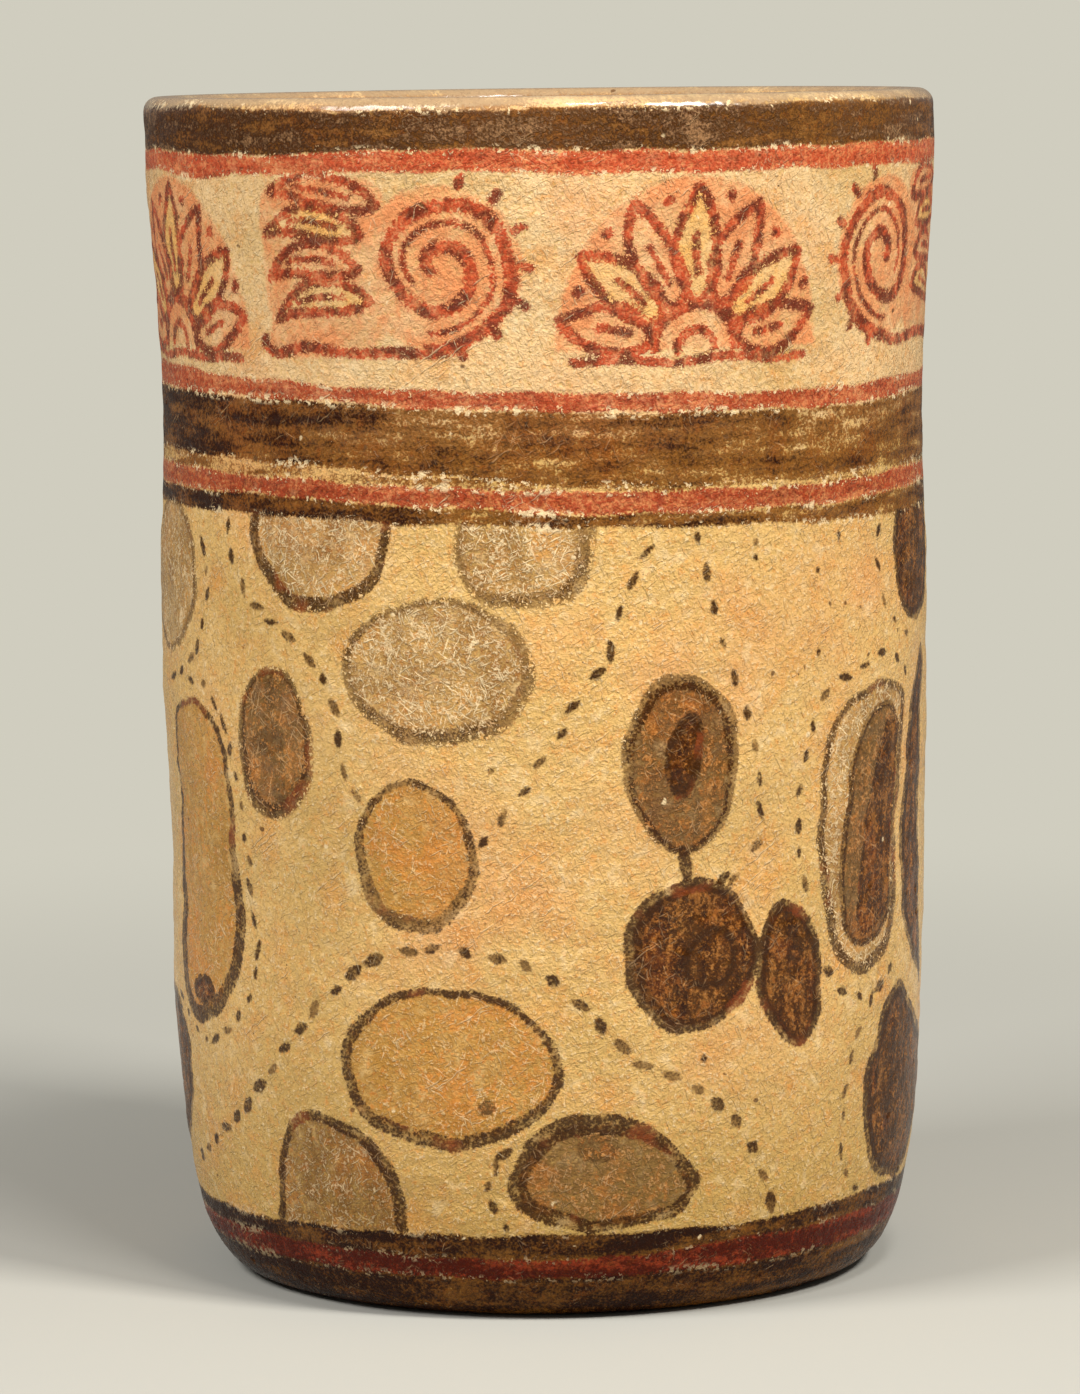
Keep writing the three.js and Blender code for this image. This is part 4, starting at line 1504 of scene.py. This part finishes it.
def add_lamp(name, place, aim_height, width, power, tint):
    lamp = bpy.data.lights.new(name, "AREA")
    lamp.shape = "RECTANGLE"
    lamp.size = lamp.size_y = width
    lamp.energy = power
    lamp.color = tint
    holder = add_object(name, lamp)
    holder.location = place
    holder.rotation_euler = looking(place, (0, 0, aim_height)).to_euler()


def add_camera(stage):
    camera = bpy.data.cameras.new("camera")
    camera.sensor_fit = "VERTICAL"
    camera.lens = stage.focal_ratio * camera.sensor_height
    camera.clip_end = 100
    place = Vector((0, -stage.camera_distance, stage.camera_height))
    look = looking(place, (-stage.aim_left, 0, stage.aim_height)).to_matrix().to_4x4()
    holder = add_object("camera", camera)
    holder.matrix_world = Matrix.Translation(place) @ look @ Matrix.Rotation(-stage.camera_roll, 4, "Z")
    bpy.context.scene.camera = holder


def floor_material(stage):
    """Pale floor that takes the shadow, and fades into the backdrop away from the vase."""
    material = bpy.data.materials.new("floor")
    material.use_nodes = True
    tree = material.node_tree
    tree.nodes.clear()
    near = put(tree, "ShaderNodeBsdfPrincipled", {
        "Base Color": linear(stage.floor), "Roughness": 0.9, "Specular IOR Level": 0.1,
    })
    far = put(tree, "ShaderNodeEmission", {"Color": linear(stage.sky)})
    place = put(tree, "ShaderNodeTexCoord").outputs["Object"]
    distance = put(tree, "ShaderNodeVectorMath", {0: place}, operation="LENGTH").outputs["Value"]
    seen = put(tree, "ShaderNodeLightPath").outputs["Is Camera Ray"]
    fade = Number(distance).ramp(*FADE) * seen
    either = put(tree, "ShaderNodeMixShader", {0: fade, 1: near.outputs[0], 2: far.outputs[0]})
    put(tree, "ShaderNodeOutputMaterial", {"Surface": either.outputs[0]})
    return material


def add_floor(stage):
    mesh = bpy.data.meshes.new("floor")
    corners = [(x * FLOOR_HALF, y * FLOOR_HALF, 0) for x, y in ((-1, -1), (1, -1), (1, 1), (-1, 1))]
    mesh.from_pydata(corners, [], [(0, 1, 2, 3)])
    mesh.materials.append(floor_material(stage))
    add_object("floor", mesh)


def add_world(stage):
    """A faint glow that lights the vase, with the backdrop in its place where the camera looks."""
    world = bpy.data.worlds.new("studio")
    world.use_nodes = True
    tree = world.node_tree
    tree.nodes.clear()
    seen = put(tree, "ShaderNodeLightPath").outputs["Is Camera Ray"]
    glow = put(tree, "ShaderNodeBackground", {"Color": GLOW, "Strength": GLOW_STRENGTH})
    backdrop = put(tree, "ShaderNodeBackground", {"Color": linear(stage.sky), "Strength": 1.0})
    either = put(tree, "ShaderNodeMixShader", {0: seen, 1: glow.outputs[0], 2: backdrop.outputs[0]})
    put(tree, "ShaderNodeOutputWorld", {"Surface": either.outputs[0]})
    bpy.context.scene.world = world


class VASE_OT_stage(bpy.types.Operator):
    """Sets the floor, the studio light and the camera"""

    bl_idname = "vase.stage"
    bl_label = "Stage"

    def execute(self, context):
        stage = context.scene.vase_stage
        add_floor(stage)
        for lamp in LAMPS:
            add_lamp(*lamp)
        add_world(stage)
        add_camera(stage)
        context.scene.view_settings.view_transform = "Standard"
        return {"FINISHED"}


class VASE_PT_panel(bpy.types.Panel):
    """Builds the vase piece by piece"""

    bl_idname = "VASE_PT_panel"
    bl_label = "Painted cylinder vase"
    bl_space_type = "VIEW_3D"
    bl_region_type = "UI"
    bl_category = "Vase"

    def draw(self, context):
        column = self.layout.column()
        for operator in OPERATORS:
            column.operator(operator.bl_idname)
        for settings in (context.scene.vase_shape, context.scene.vase_colours, context.scene.vase_stage):
            box = self.layout.box()
            for name in settings.__annotations__:
                box.prop(settings, name)


SETTINGS = {"vase_shape": VaseShape, "vase_colours": VaseColours, "vase_stage": VaseStage}
OPERATORS = (VASE_OT_stage, VASE_OT_floor_disc, VASE_OT_coils, VASE_OT_lip_coil)


def register():
    for cls in (*SETTINGS.values(), *OPERATORS, VASE_PT_panel):
        bpy.utils.register_class(cls)
    for name, cls in SETTINGS.items():
        setattr(bpy.types.Scene, name, PointerProperty(type=cls))


def unregister():
    for name in SETTINGS:
        delattr(bpy.types.Scene, name)
    for cls in (VASE_PT_panel, *OPERATORS, *SETTINGS.values()):
        bpy.utils.unregister_class(cls)


def main():
    register()
    bpy.ops.vase.stage()
    bpy.ops.vase.floor_disc()
    bpy.ops.vase.coils()
    bpy.ops.vase.lip_coil()


if __name__ == "__main__":
    main()
